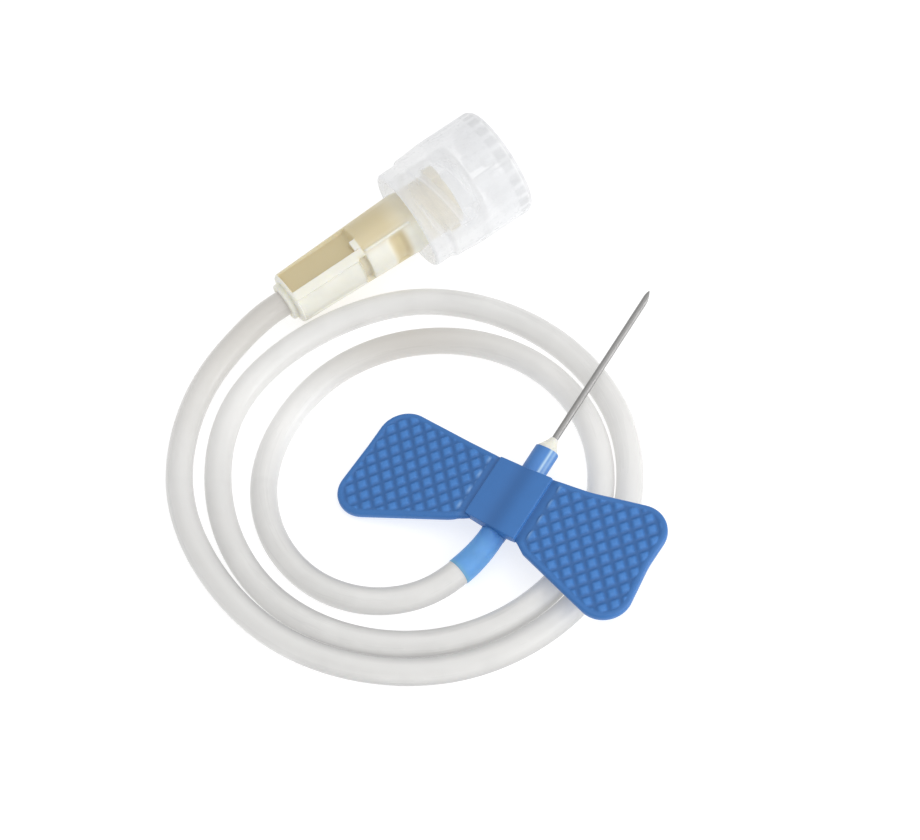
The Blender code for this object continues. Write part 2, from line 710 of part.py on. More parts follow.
def build_cap(frame):
    """Clear cap: collar, gripped body and closed end in one turned shell, with a solid cone."""
    collar = CAP_COLLAR_D / 2
    step = CAP_STEP_D / 2
    body = CAP_BODY_D / 2
    cavity = CAP_CAVITY_D / 2
    floor = CAP_FLOOR_AT
    tip = CONE_TIP_D / 2
    root = tip + (floor - CONE_AT) * LUER_TAPER / 2
    soft = CAP_SOFT
    beyond = CAP_LENGTH + CAP_ROUND
    profile = [(0.0, CONE_AT), (tip - soft, CONE_AT), (tip, CONE_AT + soft), (root, floor),
               (cavity - soft, floor), (cavity, floor - soft), (cavity, CAP_RIM_ROUND)]
    profile += fillet((collar - CAP_RIM_ROUND, CAP_RIM_ROUND), CAP_RIM_ROUND, 250, 360, 5)
    profile += [(collar, CAP_COLLAR - soft), (step, CAP_COLLAR + soft), (step, CAP_STEP - soft),
                (body, CAP_STEP + soft)]
    profile += fillet((body - CAP_ROUND, CAP_LENGTH - CAP_ROUND), CAP_ROUND, 0, 90, 6)
    profile += [(0.0, CAP_LENGTH)]
    cap = add_object("luer_cap", turned(profile, CAP_SIDES), clear_cap(), frame, (0.0, CAP_AT, 0.0))

    pockets = []
    for k in range(POCKETS):
        middle = (POCKET_IN_D + POCKET_OUT_D) / 4
        half = math.pi / POCKETS - POCKET_WALL / 2 / middle
        pockets.append(sector_cutter(f"pocket_{k}", frame, 2 * math.pi * k / POCKETS, half,
                                     CAP_LENGTH - POCKET_DEPTH, beyond,
                                     POCKET_IN_D / 2, POCKET_OUT_D / 2, steps=3))
    tool = merged_tools("cap_pockets", pockets)
    tool.location = cap.location
    combine(cap, tool, "DIFFERENCE")

    grooves = []
    for k in range(GROOVES):
        turn = 2 * math.pi * (k + 0.5) / GROOVES
        grooves.append(sector_cutter(f"groove_{k}", frame, turn, GROOVE_WIDTH / 2 / body,
                                     CAP_STEP + 2 * soft, beyond,
                                     body - GROOVE_DEPTH, body + CAP_ROUND, steps=2))
    tool = merged_tools("cap_grooves", grooves)
    tool.location = cap.location
    combine(cap, tool, "DIFFERENCE")
    return cap


def main():
    for obj in list(bpy.data.objects):
        bpy.data.objects.remove(obj)
    set_frame = add_frame("set_frame", SET_POINT, SET_HEADING, SET_PITCH, SET_ROLL)
    hub_frame = add_frame("hub_frame", HUB_POINT, HUB_HEADING, HUB_PITCH, HUB_ROLL)
    bpy.context.view_layer.update()
    build_needle(set_frame)
    build_holder(set_frame)
    build_barrel(set_frame)
    build_saddle(set_frame)
    build_wing("left_wing", set_frame, -1)
    build_wing("right_wing", set_frame, 1)
    line = tube_line(set_frame, hub_frame)
    build_sleeve(line)
    build_tubing(line)
    build_hub(hub_frame)
    build_cap(hub_frame)
    bpy.context.view_layer.update()


main()
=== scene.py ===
"""Butterfly needle: the finished look of a winged infusion set, built round its packed frame.

Each operator makes one piece, or one group of like pieces, as a surface worked out with numpy.
Every piece lies where the packed part says, in metres with +Z up; all but the wings ride on one of its
bodies.
"""

import math

import bmesh
import bpy
import numpy as np
from bpy.props import FloatProperty, FloatVectorProperty, IntProperty, PointerProperty
from mathutils import Euler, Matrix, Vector


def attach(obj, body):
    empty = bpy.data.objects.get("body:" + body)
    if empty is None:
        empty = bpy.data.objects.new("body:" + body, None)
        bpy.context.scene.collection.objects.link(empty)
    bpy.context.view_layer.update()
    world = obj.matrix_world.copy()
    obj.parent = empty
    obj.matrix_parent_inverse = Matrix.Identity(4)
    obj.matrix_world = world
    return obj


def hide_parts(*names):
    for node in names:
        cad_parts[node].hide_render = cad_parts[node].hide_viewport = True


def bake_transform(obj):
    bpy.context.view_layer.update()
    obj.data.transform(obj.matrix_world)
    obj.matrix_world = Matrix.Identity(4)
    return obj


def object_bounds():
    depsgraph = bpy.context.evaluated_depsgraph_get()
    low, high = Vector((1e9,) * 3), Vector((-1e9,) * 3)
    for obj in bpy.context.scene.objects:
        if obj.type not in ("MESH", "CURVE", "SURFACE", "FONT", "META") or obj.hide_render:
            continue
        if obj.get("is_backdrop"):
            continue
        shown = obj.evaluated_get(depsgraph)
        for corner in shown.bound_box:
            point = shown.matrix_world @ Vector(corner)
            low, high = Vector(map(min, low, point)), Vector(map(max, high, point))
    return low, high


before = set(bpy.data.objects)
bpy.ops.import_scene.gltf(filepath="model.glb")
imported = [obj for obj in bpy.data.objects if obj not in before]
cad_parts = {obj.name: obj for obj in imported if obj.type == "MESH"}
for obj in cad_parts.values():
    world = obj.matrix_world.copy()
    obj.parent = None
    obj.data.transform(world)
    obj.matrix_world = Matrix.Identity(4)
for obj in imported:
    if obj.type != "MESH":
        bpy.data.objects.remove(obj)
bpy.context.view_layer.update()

bl_info = {
    "name": "Butterfly Needle",
    "version": (1, 0, 0),
    "blender": (4, 5, 0),
    "location": "3D View > Sidebar > Butterfly Needle",
    "description": "Builds a winged infusion set with its coiled tube and its capped connector",
    "category": "Add Mesh",
}

MM = 0.001
ROUND = 2.0 * math.pi
QUARTER = math.pi / 2
WORLD = (np.zeros(3), np.eye(3))

# The camera's target, its height above the table as an angle, its distance and its lens.
TARGET = Vector((-3.83 * MM, 6.37 * MM, 0.0))
RAISED = math.radians(58.0)
CAMERA_REACH = 0.32
CAMERA_LENS = 130.2

# Soft round lamps: name, place, width and power.
LAMPS = (("key", (0.24, -0.16, 0.20), 0.30, 0.42), ("side", (0.34, -0.04, 0.075), 0.14, 0.20),
         ("top", (0.02, 0.02, 0.40), 0.40, 0.36))

# The tube's route from the sleeve to the connector, as in the part: degrees about the coil's
# centre, radius in millimetres and height in millimetres, clockwise seen from above.
TUBE_ROUTE = (
    (311.0, 10.40, 1.83), (298.5, 10.75, 1.43), (281.0, 11.70, 1.32), (257.0, 12.85, 1.31),
    (231.0, 13.50, 1.31), (203.0, 13.50, 1.31), (175.0, 13.30, 1.31), (147.0, 13.40, 1.31),
    (121.0, 14.30, 1.31), (96.0, 15.60, 1.31), (72.0, 17.05, 1.31), (48.0, 18.30, 1.31),
    (23.0, 18.80, 1.31), (-3.0, 18.45, 1.31), (-26.0, 17.90, 1.31), (-52.0, 17.40, 1.31),
    (-78.0, 17.15, 1.31), (-104.0, 17.10, 1.31), (-131.0, 17.25, 1.31), (-157.0, 17.35, 1.31),
    (-183.0, 17.75, 1.31), (-208.0, 18.55, 1.31), (-231.0, 19.00, 1.31), (-250.0, 19.65, 1.31),
    (-272.0, 20.85, 1.31), (-294.0, 21.45, 1.31), (-318.0, 21.75, 1.31), (-341.0, 21.70, 1.31),
    (-364.0, 21.15, 1.31), (-387.0, 20.65, 1.31), (-410.0, 20.25, 1.31), (-434.0, 20.05, 1.31),
    (-460.0, 19.85, 1.31), (-486.0, 20.00, 1.31), (-512.0, 20.30, 1.31), (-535.0, 21.15, 1.31),
    (-555.0, 21.80, 1.34), (-573.5, 22.42, 1.62), (-584.0, 22.68, 2.02),
)
LINE_SAMPLES = 3000
TUBE_SIDES = 36
SLEEVE_SIDES = 40
NEEDLE_SIDES = 72
BARREL_SIDES = 96

# Clearance of round pieces that fit in one another.
FIT = 0.01 * MM

# The wing's outline as corners in millimetres: outward from the fold, forward, and radius.
# A negative radius is a hollow side. The root runs on inside the saddle.
WING_CORNERS = (
    (-0.75, 3.38, 0.05), (3.40, 3.75, -14.0), (12.27, 5.30, 2.80), (12.07, -0.60, -10.0),
    (12.92, -9.20, 2.75), (1.00, -4.45, 1.00), (-0.75, -3.50, 0.05),
)
CORNER_STEPS = 24

# Places of a pocket's points within its share of the turn, closer about its two walls.
POCKET_PLACES = (0.0, 0.06, 0.085, 0.11, 0.17, 0.25, 0.33, 0.42,
                 0.5, 0.58, 0.67, 0.75, 0.83, 0.89, 0.915, 0.94)


def mm(name, description, default):
    """A length, given in millimetres."""
    return FloatProperty(name=name, description=description, default=default * MM,
                         min=0.0, unit="LENGTH", precision=5)


def degrees(name, description, default):
    """An angle, given in degrees."""
    return FloatProperty(name=name, description=description, default=math.radians(default),
                         unit="ROTATION")


def share_of(name, description, default):
    """A share of a whole."""
    return FloatProperty(name=name, description=description, default=default, min=0.0, max=1.0)


def colour(name, description, default):
    """A surface colour."""
    return FloatVectorProperty(name=name, description=description, default=default,
                               size=3, min=0.0, max=1.0, subtype="COLOR")


def place(name, description, default):
    """A place, given in millimetres."""
    return FloatVectorProperty(name=name, description=description, subtype="TRANSLATION",
                               unit="LENGTH", default=tuple(part * MM for part in default))


def turns(name, description, default):
    """Pitch, roll and heading, given in degrees."""
    return FloatVectorProperty(name=name, description=description, subtype="EULER",
                               default=tuple(math.radians(part) for part in default))


class PlaceSettings(bpy.types.PropertyGroup):
    """Where the winged needle, the coil and the connector lie."""

    set_point: place("Wings", "Middle of the saddle's top", (0.74, -4.56, 4.22))
    set_turn: turns("Wings' turn", "Pitch, roll and heading", (4.0, -9.0, 59.3 - 90.0))
    hub_point: place("Connector", "Its rear end", (-21.00, 18.06, 2.80))
    hub_turn: turns("Connector's turn", "Pitch, roll and heading", (9.2, 33.0, 34.0 - 90.0))
    coil_centre: place("Coil", "Middle of the tube's coil", (-9.03, -1.69, 0.0))


class NeedleSettings(bpy.types.PropertyGroup):
    """Sizes of the steel needle, its holder and the barrel."""

    needle_width: mm("Needle width", "Outside of the steel tube", 0.64)
    needle_bore: mm("Needle bore", "Inside of the steel tube", 0.40)
    needle_free: mm("Free length", "Needle in front of its holder", 18.7)
    needle_seated: mm("Seated length", "Needle inside the barrel", 5.40)
    bevel: degrees("Bevel", "Angle of the long bevel to the needle", 16.0)
    lancet: degrees("Side bevels", "Angle of the two side bevels to the needle", 23.0)
    lancet_turn: degrees("Side bevels' turn", "How far they turn outwards", 38.0)
    nose: mm("Nose", "Length of the holder's cone", 1.25)
    nose_tip: mm("Nose tip", "Width of the cone where the needle leaves it", 0.90)
    barrel_width: mm("Barrel width", "Outside of the blue tube", 2.40)
    barrel_front: mm("Barrel front", "Front end from the saddle's middle", 6.65)
    barrel_rear: mm("Barrel rear", "Rear end from the saddle's middle", 2.60)
    barrel_drop: mm("Barrel drop", "Barrel's axis below the saddle's top", 1.75)
    barrel_slant: mm("Barrel slant", "How far the front end leans back on top", 0.26)


class WingSettings(bpy.types.PropertyGroup):
    """Sizes of the wings, their pebbles and the saddle."""

    plate: mm("Plate", "Thickness of a wing", 0.90)
    droop: degrees("Droop", "How far each wing hangs at rest", 2.5)
    fold_line: mm("Fold line", "Living hinge's distance from the barrel", 3.00)
    root_gap: mm("Root gap", "Start of the wing's outline beyond the fold", 0.20)
    web: mm("Web", "Thickness of the living hinge", 0.40)
    web_level: share_of("Web level", "Web's depth as a share of the plate", 0.62)
    hinge_level: mm("Hinge level", "Top of the living hinge below a wing's top", 0.26)
    right_trim: mm("Right trim", "Right wing's rear corner drawn in", 0.36)
    right_swell: mm("Right swell", "Right wing's front corner and rear root let out", 0.30)
    left_trim: mm("Left trim", "Left wing's front corner drawn in", 0.60)
    left_hollow: mm("Left hollow", "Left wing's outer side let out", 0.34)
    edge: mm("Edge", "Radius of the plate's edges", 0.30)
    rim: mm("Rim", "Width of the smooth border", 0.42)
    rim_slope: mm("Rim slope", "Width of the border's inner slope", 0.40)
    rim_level: share_of("Rim level", "Border's height as a share of a pebble's", 0.55)
    recess: mm("Recess", "Depth of the grooves between the pebbles", 0.20)
    pitch_out: mm("Pitch outwards", "Pebbles' spacing away from the barrel", 1.62)
    pitch_along: mm("Pitch along", "Pebbles' spacing along the needle", 1.86)
    pebble: mm("Pebble", "Width of one pebble", 0.92)
    pebble_corner: mm("Pebble corner", "Radius of a pebble's corners", 0.24)
    saddle_width: mm("Saddle width", "Band between the two folds", 5.70)
    saddle_front: mm("Saddle front", "Band's front end from its middle", 3.40)
    saddle_rear: mm("Saddle rear", "Band's rear end from its middle", 3.60)
    saddle_wall: mm("Saddle wall", "Thickness of the half sleeve", 0.50)
    saddle_slim: mm("Saddle slim end", "Half sleeve's width at its rear end", 2.56)
    saddle_left: mm("Saddle left", "How much further the band reaches on the left", 0.13)
    saddle_skew: mm("Saddle skew", "How far back the band's rear right corner runs", 0.26)


class TubeSettings(bpy.types.PropertyGroup):
    """Sizes of the sleeve and of the clear tube."""

    tube_width: mm("Tube width", "Outside of the clear tube", 2.60)
    sleeve_length: mm("Sleeve", "Length of the blue sleeve", 5.60)
    sleeve_start: mm("Sleeve start", "Sleeve's width at the saddle", 2.44)
    sleeve_end: mm("Sleeve end", "Sleeve's width at the tube", 2.70)
    gap: mm("Face gap", "Gap between end faces that meet in the part", 0.30)


class ConnectorSettings(bpy.types.PropertyGroup):
    """Sizes of the ivory connector."""

    length: mm("Length", "Connector from its rear lip to its mouth", 19.40)
    lip_width: mm("Lip width", "Outside of the rear lip", 3.90)
    lip: mm("Lip", "Length of the rear lip", 0.60)
    rear_width: mm("Rear width", "Body behind", 5.40)
    front_width: mm("Front width", "Body at its widest", 6.30)
    front_at: mm("Widest at", "Widest place from the rear", 14.20)
    tip_width: mm("Tip width", "Body inside the cap", 6.00)
    shoulder: mm("Shoulder", "Rounding of the body's rear end", 0.35)
    edge: mm("Edge", "Rounding of the end edges", 0.20)
    rib: mm("Rib", "Width of a rib", 1.00)
    rib_end: mm("Rib end", "Front end of the ribs", 8.85)
    facet: mm("Facet", "Flat panel's distance from the axis", 2.12)
    sink: mm("Panel sink", "Depth of the round panel below the ribs", 0.20)
    panel_end: mm("Panel end", "Front end of the round panel", 8.00)
    core: mm("Slot floor", "Slot's floor from the axis", 2.38)
    block_start: mm("Block start", "Rear end of the small block", 8.20)
    window_start: mm("Window start", "Rear end of the hollow", 11.60)
    window_end: mm("Window end", "Front end of the hollow", 13.10)
    window_sink: mm("Window sink", "Depth of the hollow", 0.36)
    ridge: mm("Ridge", "Width of the thin ridge", 0.30)
    ridge_proud: mm("Ridge height", "Height of the thin ridge", 0.14)
    lug_length: mm("Lug length", "Length of a lug", 1.20)
    lug_reach: mm("Lug reach", "Lug's outer side from the axis", 3.85)
    lug_half: degrees("Lug half width", "Half of a lug's share of the turn", 14.897)
    lug_turn: degrees("Lug turn", "Where the lugs stand, from the top rib", -50.0)
    mouth: mm("Mouth", "Width of the tapered bore at its mouth", 4.30)
    mouth_depth: mm("Mouth depth", "Depth of the tapered bore", 7.80)


class CapSettings(bpy.types.PropertyGroup):
    """Sizes of the clear cap."""

    start: mm("Start", "Cap's rim from the connector's rear", 14.55)
    length: mm("Length", "Cap from its rim to its closed end", 11.45)
    collar_width: mm("Collar width", "Outside of the collar", 10.50)
    collar: mm("Collar", "End of the collar", 2.10)
    step_width: mm("Step width", "Outside of the middle band", 11.10)
    step: mm("Step", "End of the middle band", 4.30)
    body_width: mm("Body width", "Outside of the body", 11.50)
    round_end: mm("Round end", "Rounding of the closed end", 0.90)
    soft: mm("Soft edge", "Rounding of the inner edges", 0.25)
    cavity: mm("Cavity", "Width of the inside", 8.50)
    floor: mm("Floor", "Depth of the inside", 7.00)
    cone_tip: mm("Cone tip", "Width of the inner cone's tip", 3.90)
    cone_start: mm("Cone start", "Inner cone's tip from the rim", 0.80)
    thread: mm("Thread", "Height of the inner thread", 0.28)
    lead: mm("Lead", "Thread's travel in one turn", 5.00)
    pockets: IntProperty(name="Pockets", description="Pockets in the closed end", default=12, min=3)
    pocket_depth: mm("Pocket depth", "Depth of a pocket", 2.60)
    pocket_in: mm("Pocket inside", "Pockets' inner side from the axis", 2.80)
    pocket_out: mm("Pocket outside", "Pockets' outer side from the axis", 4.80)
    pocket_wall: mm("Pocket wall", "Wall between two pockets", 0.60)
    grip: mm("Grip", "Depth of the grip's flutes", 0.09)


class FinishSettings(bpy.types.PropertyGroup):
    """Colours of the finishes."""

    wing_blue: colour("Wing blue", "Tops and rims of the wings", (0.053, 0.212, 0.575))
    # Painted shade colour, for the grooves between the pebbles and other low places.
    groove_shade_blue: colour("Groove blue", "Grooves between the pebbles", (0.030, 0.130, 0.370))
    # Painted highlight colour, for the streak along the barrel and the glints on the wings.
    streak: colour("Streak", "Pale streak along the barrel", (0.46, 0.65, 0.80))
    sleeve_blue: colour("Sleeve blue", "Soft sleeve", (0.125, 0.355, 0.720))
    ivory: colour("Ivory", "Connector and needle holder", (0.81, 0.80, 0.72))
    # Painted shade colour: the tan that the ivory takes where it lies in shade.
    tan: colour("Deep ivory", "Ivory where the connector is deepest", (0.67, 0.575, 0.355))
    tube_white: colour("Tube white", "Frosted tube", (0.46, 0.457, 0.449))
    cap_white: colour("Cap white", "Clear cap", (0.60, 0.605, 0.615))
    steel: colour("Steel", "Needle", (0.36, 0.355, 0.35))
    floor: colour("Floor", "Table top", (0.80, 0.80, 0.80))


def local_frame(origin, turn):
    """Origin and axes of a frame. The axes are the columns of the matrix, and +Y leads."""
    return np.array(origin), np.array(Euler(turn, "YXZ").to_matrix())


def set_frame():
    """The winged needle's frame: +X to its right, +Y along the needle, +Z off the wings."""
    where = bpy.context.scene.set_place
    return local_frame(where.set_point, where.set_turn)


def hub_frame():
    """The connector's frame: +Y along it from the tube to the cap, +Z through one rib."""
    where = bpy.context.scene.set_place
    return local_frame(where.hub_point, where.hub_turn)


def to_world(local, points):
    """Carry points from a local frame into the part's frame."""
    origin, axes = local
    return np.asarray(points) @ axes.T + origin


def smooth_step(value, low, high):
    """Zero below low, one above high, and 3t^2 - 2t^3 between them."""
    share = np.clip((value - low) / (high - low), 0.0, 1.0)
    return share * share * (3.0 - 2.0 * share)


def fading(value, low, high):
    """One below low, zero above high, and smooth between them."""
    return 1.0 - smooth_step(value, low, high)


def between(value, start, end, soft):
    """One between two places, falling to zero over a soft edge about each."""
    return (smooth_step(value, start - soft / 2, start + soft / 2)
            * fading(value, end - soft / 2, end + soft / 2))


def hump(value, middle, width):
    """A bell about a middle: e to the power of minus the square of the distance in widths."""
    return np.exp(-((value - middle) / width) ** 2)


def run_of(line):
    """Length of a line up to each of its points."""
    return np.concatenate([[0.0], np.cumsum(np.linalg.norm(np.diff(line, axis=0), axis=1))])


def at_lengths(line, length, places):
    """Points of a line at given lengths along it."""
    return np.stack([np.interp(places, length, part) for part in line.T], axis=1)


def packed(start, end, step, edges, close):
    """Even samples of a run, with closer ones about the given edges."""
    even = np.linspace(start, end, int(round((end - start) / step)) + 1)
    near = [edge + np.linspace(-2.0, 2.0, 5) * close for edge in edges]
    every = np.unique(np.round(np.concatenate([even, *near]), 7))
    every = every[(every >= start) & (every <= end)]
    keep = np.concatenate([[True], np.diff(every) > close * 0.45])
    keep[-1] = True
    return every[keep]


def graded(length, start_step, end_step, middle_step):
    """Shares from 0 to 1 whose steps grow from the ends of a run to its middle."""
    at = np.linspace(0.0, 1.0, 4000)
    away = np.minimum(at, 1.0 - at) * length
    small = np.where(at < 0.5, start_step, end_step)
    step = small + (middle_step - small) * smooth_step(away, 0.25 * MM, 0.9 * MM)
    count = np.concatenate([[0.0], np.cumsum((at[1] - at[0]) * length / step[:-1])])
    whole = int(round(count[-1]))
    return np.interp(np.linspace(0.0, count[-1], whole + 1), count, at)


def around(sides):
    """Even turns once round, in radians."""
    return np.linspace(0.0, ROUND, sides, endpoint=False)


def arc(radius, along, size, start, end, steps):
    """Points of a quarter round in a profile, as (radius, along), between two angles in degrees."""
    angle = np.radians(np.linspace(start, end, steps))
    return np.stack([radius + size * np.cos(angle), along + size * np.sin(angle)], 1)


def turned_rings(radius, along, turn, drop=0.0):
    """Rings about the Y axis: x = r sin t, z = r cos t - drop. Values go by ring or by point."""
    radius, along = (np.broadcast_to(part.reshape(len(part), -1), (len(part), len(turn)))
                     for part in (radius, along))
    return np.stack([radius * np.sin(turn), along, radius * np.cos(turn) - drop], axis=-1)


def swept_rings(path, radius, sides):
    """Rings of the given radii square to a path, with their first point at its side."""
    ahead = np.gradient(path, axis=0)
    ahead /= np.linalg.norm(ahead, axis=1)[:, None]
    side = np.cross(ahead, (0.0, 0.0, 1.0))
    side /= np.linalg.norm(side, axis=1)[:, None]
    over = np.cross(side, ahead)
    turn = around(sides)[None, :, None]
    radius = np.broadcast_to(radius, (len(path),))[:, None, None]
    return path[:, None] + radius * (side[:, None] * np.cos(turn) + over[:, None] * np.sin(turn))


def grid_quads(index, join_rows=False, join_columns=True):
    """Quads between neighbours in a grid of point numbers, joined up in either direction."""
    quads = np.stack([index, np.roll(index, -1, 1), np.roll(index, (-1, -1), (0, 1)),
                      np.roll(index, -1, 0)], axis=-1)
    rows = len(index) - (not join_rows)
    columns = index.shape[1] - (not join_columns)
    return quads[:rows, :columns].reshape(-1, 4)


def closed_rings(rings, joined=False):
    """Points and faces of a shell through rings (rows, columns, 3).

    The first and last rings are closed by fans about their middles, or joined to each other.
    """
    rows, columns = rings.shape[:2]
    index = np.arange(rows * columns).reshape(rows, columns)
    points = rings.reshape(-1, 3)
    faces = grid_quads(index, join_rows=joined).tolist()
    if not joined:
        for ring, middle in ((index[0], len(points)), (index[-1], len(points) + 1)):
            fan = np.stack([ring, np.roll(ring, -1), np.full(columns, middle)], axis=1)
            faces += fan.tolist()
        points = np.vstack([points, rings[0].mean(axis=0), rings[-1].mean(axis=0)])
    return points, faces


def on_rings(values, columns):
    """Values by ring or by point, spread over the points of closed rings and their two middles."""
    values = np.broadcast_to(values.reshape(len(values), -1), (len(values), columns))
    return np.append(values, values[[0, -1], 0])


def smooth_curve(points, samples):
    """Sample a natural cubic spline through points, evenly along its length."""
    chord = run_of(points)
    step = np.diff(chord)
    slope = np.diff(points, axis=0) / step[:, None]
    inner = np.arange(1, len(points) - 1)
    system = np.eye(len(points))
    system[inner, inner - 1] = step[:-1]
    system[inner, inner] = 2 * (step[:-1] + step[1:])
    system[inner, inner + 1] = step[1:]
    right = np.zeros_like(points)
    right[inner] = 6 * np.diff(slope, axis=0)
    bend = np.linalg.solve(system, right)
    fine = np.linspace(0.0, chord[-1], 2 * samples)
    span = np.clip(np.searchsorted(chord, fine, side="right") - 1, 0, len(points) - 2)
    width = step[span][:, None]
    b = (fine - chord[span])[:, None] / width
    a = 1.0 - b
    curve = (a * points[span] + b * points[span + 1]
             + ((a ** 3 - a) * bend[span] + (b ** 3 - b) * bend[span + 1]) * width ** 2 / 6.0)
    length = run_of(curve)
    return at_lengths(curve, length, np.linspace(0.0, length[-1], samples)), length[-1]


def tube_line():
    """Even samples of the line of sleeve and tube, from barrel to connector, and its length."""
    scene = bpy.context.scene
    needle, gap = scene.set_needle, scene.set_tube.gap
    rear = -needle.barrel_rear - gap
    start = to_world(set_frame(), [(0.0, along, -needle.barrel_drop)
                                   for along in (rear, rear - 1.2 * MM)])
    end = to_world(hub_frame(), [(0.0, -gap - 1.0 * MM, 0.0), (0.0, -gap, 0.0)])
    angle, radius, height = np.array(TUBE_ROUTE).T
    angle = np.radians(angle)
    coil = np.column_stack([np.cos(angle) * radius, np.sin(angle) * radius, height]) * MM
    coil += np.array(scene.set_place.coil_centre)
    return smooth_curve(np.vstack([start, coil, end]), LINE_SAMPLES)


def make_piece(name, local, shape, finish, node="", body="set", tones=None, sharp=60.0):
    """Make a closed mesh piece with outward faces, and tell the frame what it rides on."""
    points, faces = shape
    mesh = bpy.data.meshes.new(name)
    mesh.from_pydata(to_world(local, points).tolist(), [], faces)
    shell = bmesh.new()
    shell.from_mesh(mesh)
    bmesh.ops.recalc_face_normals(shell, faces=shell.faces)
    shell.to_mesh(mesh)
    shell.free()
    for key, values in (tones or {}).items():
        tone = mesh.attributes.new(key, "FLOAT", "POINT")
        tone.data.foreach_set("value", values.astype(np.float32))
    mesh.materials.append(finish)
    mesh.shade_smooth()
    mesh.set_sharp_from_angle(angle=math.radians(sharp))
    piece = bpy.data.objects.new(name, mesh)
    bpy.context.scene.collection.objects.link(piece)
    if body:
        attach(piece, body)
    if node:
        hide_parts(node)
    return piece


def scaled(tone, share):
    """A colour made lighter or darker, by one share or by one for each of its parts."""
    return tuple(np.minimum(1.0, np.multiply(tone, share)))


class Finish:
    """A material in the making, on a Principled shader and the point on the piece.

    Sockets are given by name with underscores for spaces, or by number.
    """

    def __init__(self, name):
        self.material = bpy.data.materials.new(name)
        self.material.use_nodes = True
        self.tree = self.material.node_tree
        self.point = self.node("TexCoord", "Object")

    def fill(self, node, sockets):
        """Give each socket its number or colour, or link it to another node's output."""
        for name, value in sockets.items():
            socket = node.inputs[name.replace("_", " ") if isinstance(name, str) else name]
            if isinstance(value, bpy.types.NodeSocket):
                self.tree.links.new(value, socket)
            elif socket.type == "RGBA":
                socket.default_value = (*value, 1.0)
            else:
                socket.default_value = value

    def node(self, kind, output, **sockets):
        """One output of a new node."""
        made = self.tree.nodes.new("ShaderNode" + kind)
        self.fill(made, sockets)
        return made.outputs[output]

    def tone(self, key):
        """A piece's own attribute, as a number."""
        found = self.tree.nodes.new("ShaderNodeAttribute")
        found.attribute_name = key
        return found.outputs["Fac"]

    def noise(self, scale, detail=3.0, rough=0.5, point=None):
        """Soft noise between 0 and 1."""
        return self.node("TexNoise", "Fac", Vector=self.point if point is None else point,
                         Scale=scale, Detail=detail, Roughness=rough)

    def spread(self, value, low, high, to_low=0.0, to_high=1.0):
        """Map a number from one range to another, held at the ends."""
        return self.node("MapRange", "Result", Value=value, From_Min=low, From_Max=high,
                         To_Min=to_low, To_Max=to_high)

    def grain(self, scale, low, high):
        """Noise stretched between two numbers, for roughness."""
        return self.spread(self.noise(scale), 0.3, 0.7, low, high)

    def mixed(self, factor, first, second):
        """Mix two colours."""
        made = self.tree.nodes.new("ShaderNodeMix")
        made.data_type = "RGBA"
        self.fill(made, {0: factor, 6: first, 7: second})
        return made.outputs[2]

    def clouded(self, factor, tone, low, high):
        """A colour that goes from a darker to a lighter share of itself."""
        return self.mixed(factor, scaled(tone, low), scaled(tone, high))

    def times(self, first, second):
        """The product of two numbers."""
        made = self.tree.nodes.new("ShaderNodeMath")
        made.operation = "MULTIPLY"
        self.fill(made, {0: first, 1: second})
        return made.outputs["Value"]

    def bump(self, height, strength, distance):
        """A surface roughened by a height."""
        return self.node("Bump", "Normal", Strength=strength, Distance=distance, Height=height)

    def dress(self, **sockets):
        """Fill the shader's sockets, and give the finished material."""
        self.fill(self.tree.nodes["Principled BSDF"], sockets)
        return self.material


def vinyl_finish(name, colours):
    """Soft blue vinyl with faint mottling: painted shade darkens it towards the groove colour where the
    height tone is low, and the streak tone mixes in a painted highlight.
    """
    made = Finish(name)
    top = made.clouded(made.spread(made.noise(700.0, 4.0), 0.3, 0.7), colours.wing_blue, 0.965, 1.035)
    # Painted shade: the lower the height tone, the nearer the colour is to the groove colour.
    tone = made.mixed(made.tone("height"), colours.groove_shade_blue, top)
    return made.dress(
        # Painted highlight where the streak tone is set.
        Base_Color=made.mixed(made.tone("streak"), tone, colours.streak),
        Roughness=made.grain(2500.0, 0.36, 0.50), Specular_IOR_Level=0.45,
        Normal=made.bump(made.noise(6000.0, 2.0), 0.10, 0.03 * MM))


def sleeve_finish(colours):
    """Translucent blue vinyl in sleeve blue, darkened to wing blue as painted shade where it runs under
    the saddle.
    """
    made = Finish("sleeve_vinyl")
    cloud = made.clouded(made.grain(900.0, 0.0, 1.0), colours.sleeve_blue, 0.95, 1.04)
    return made.dress(
        Base_Color=made.mixed(made.tone("along"), colours.wing_blue, cloud),
        Roughness=made.grain(3000.0, 0.44, 0.56), Subsurface_Weight=0.5,
        Subsurface_Scale=0.8 * MM, Subsurface_Radius=(0.4, 0.7, 1.0),
        Normal=made.bump(made.noise(4000.0), 0.08, 0.03 * MM))


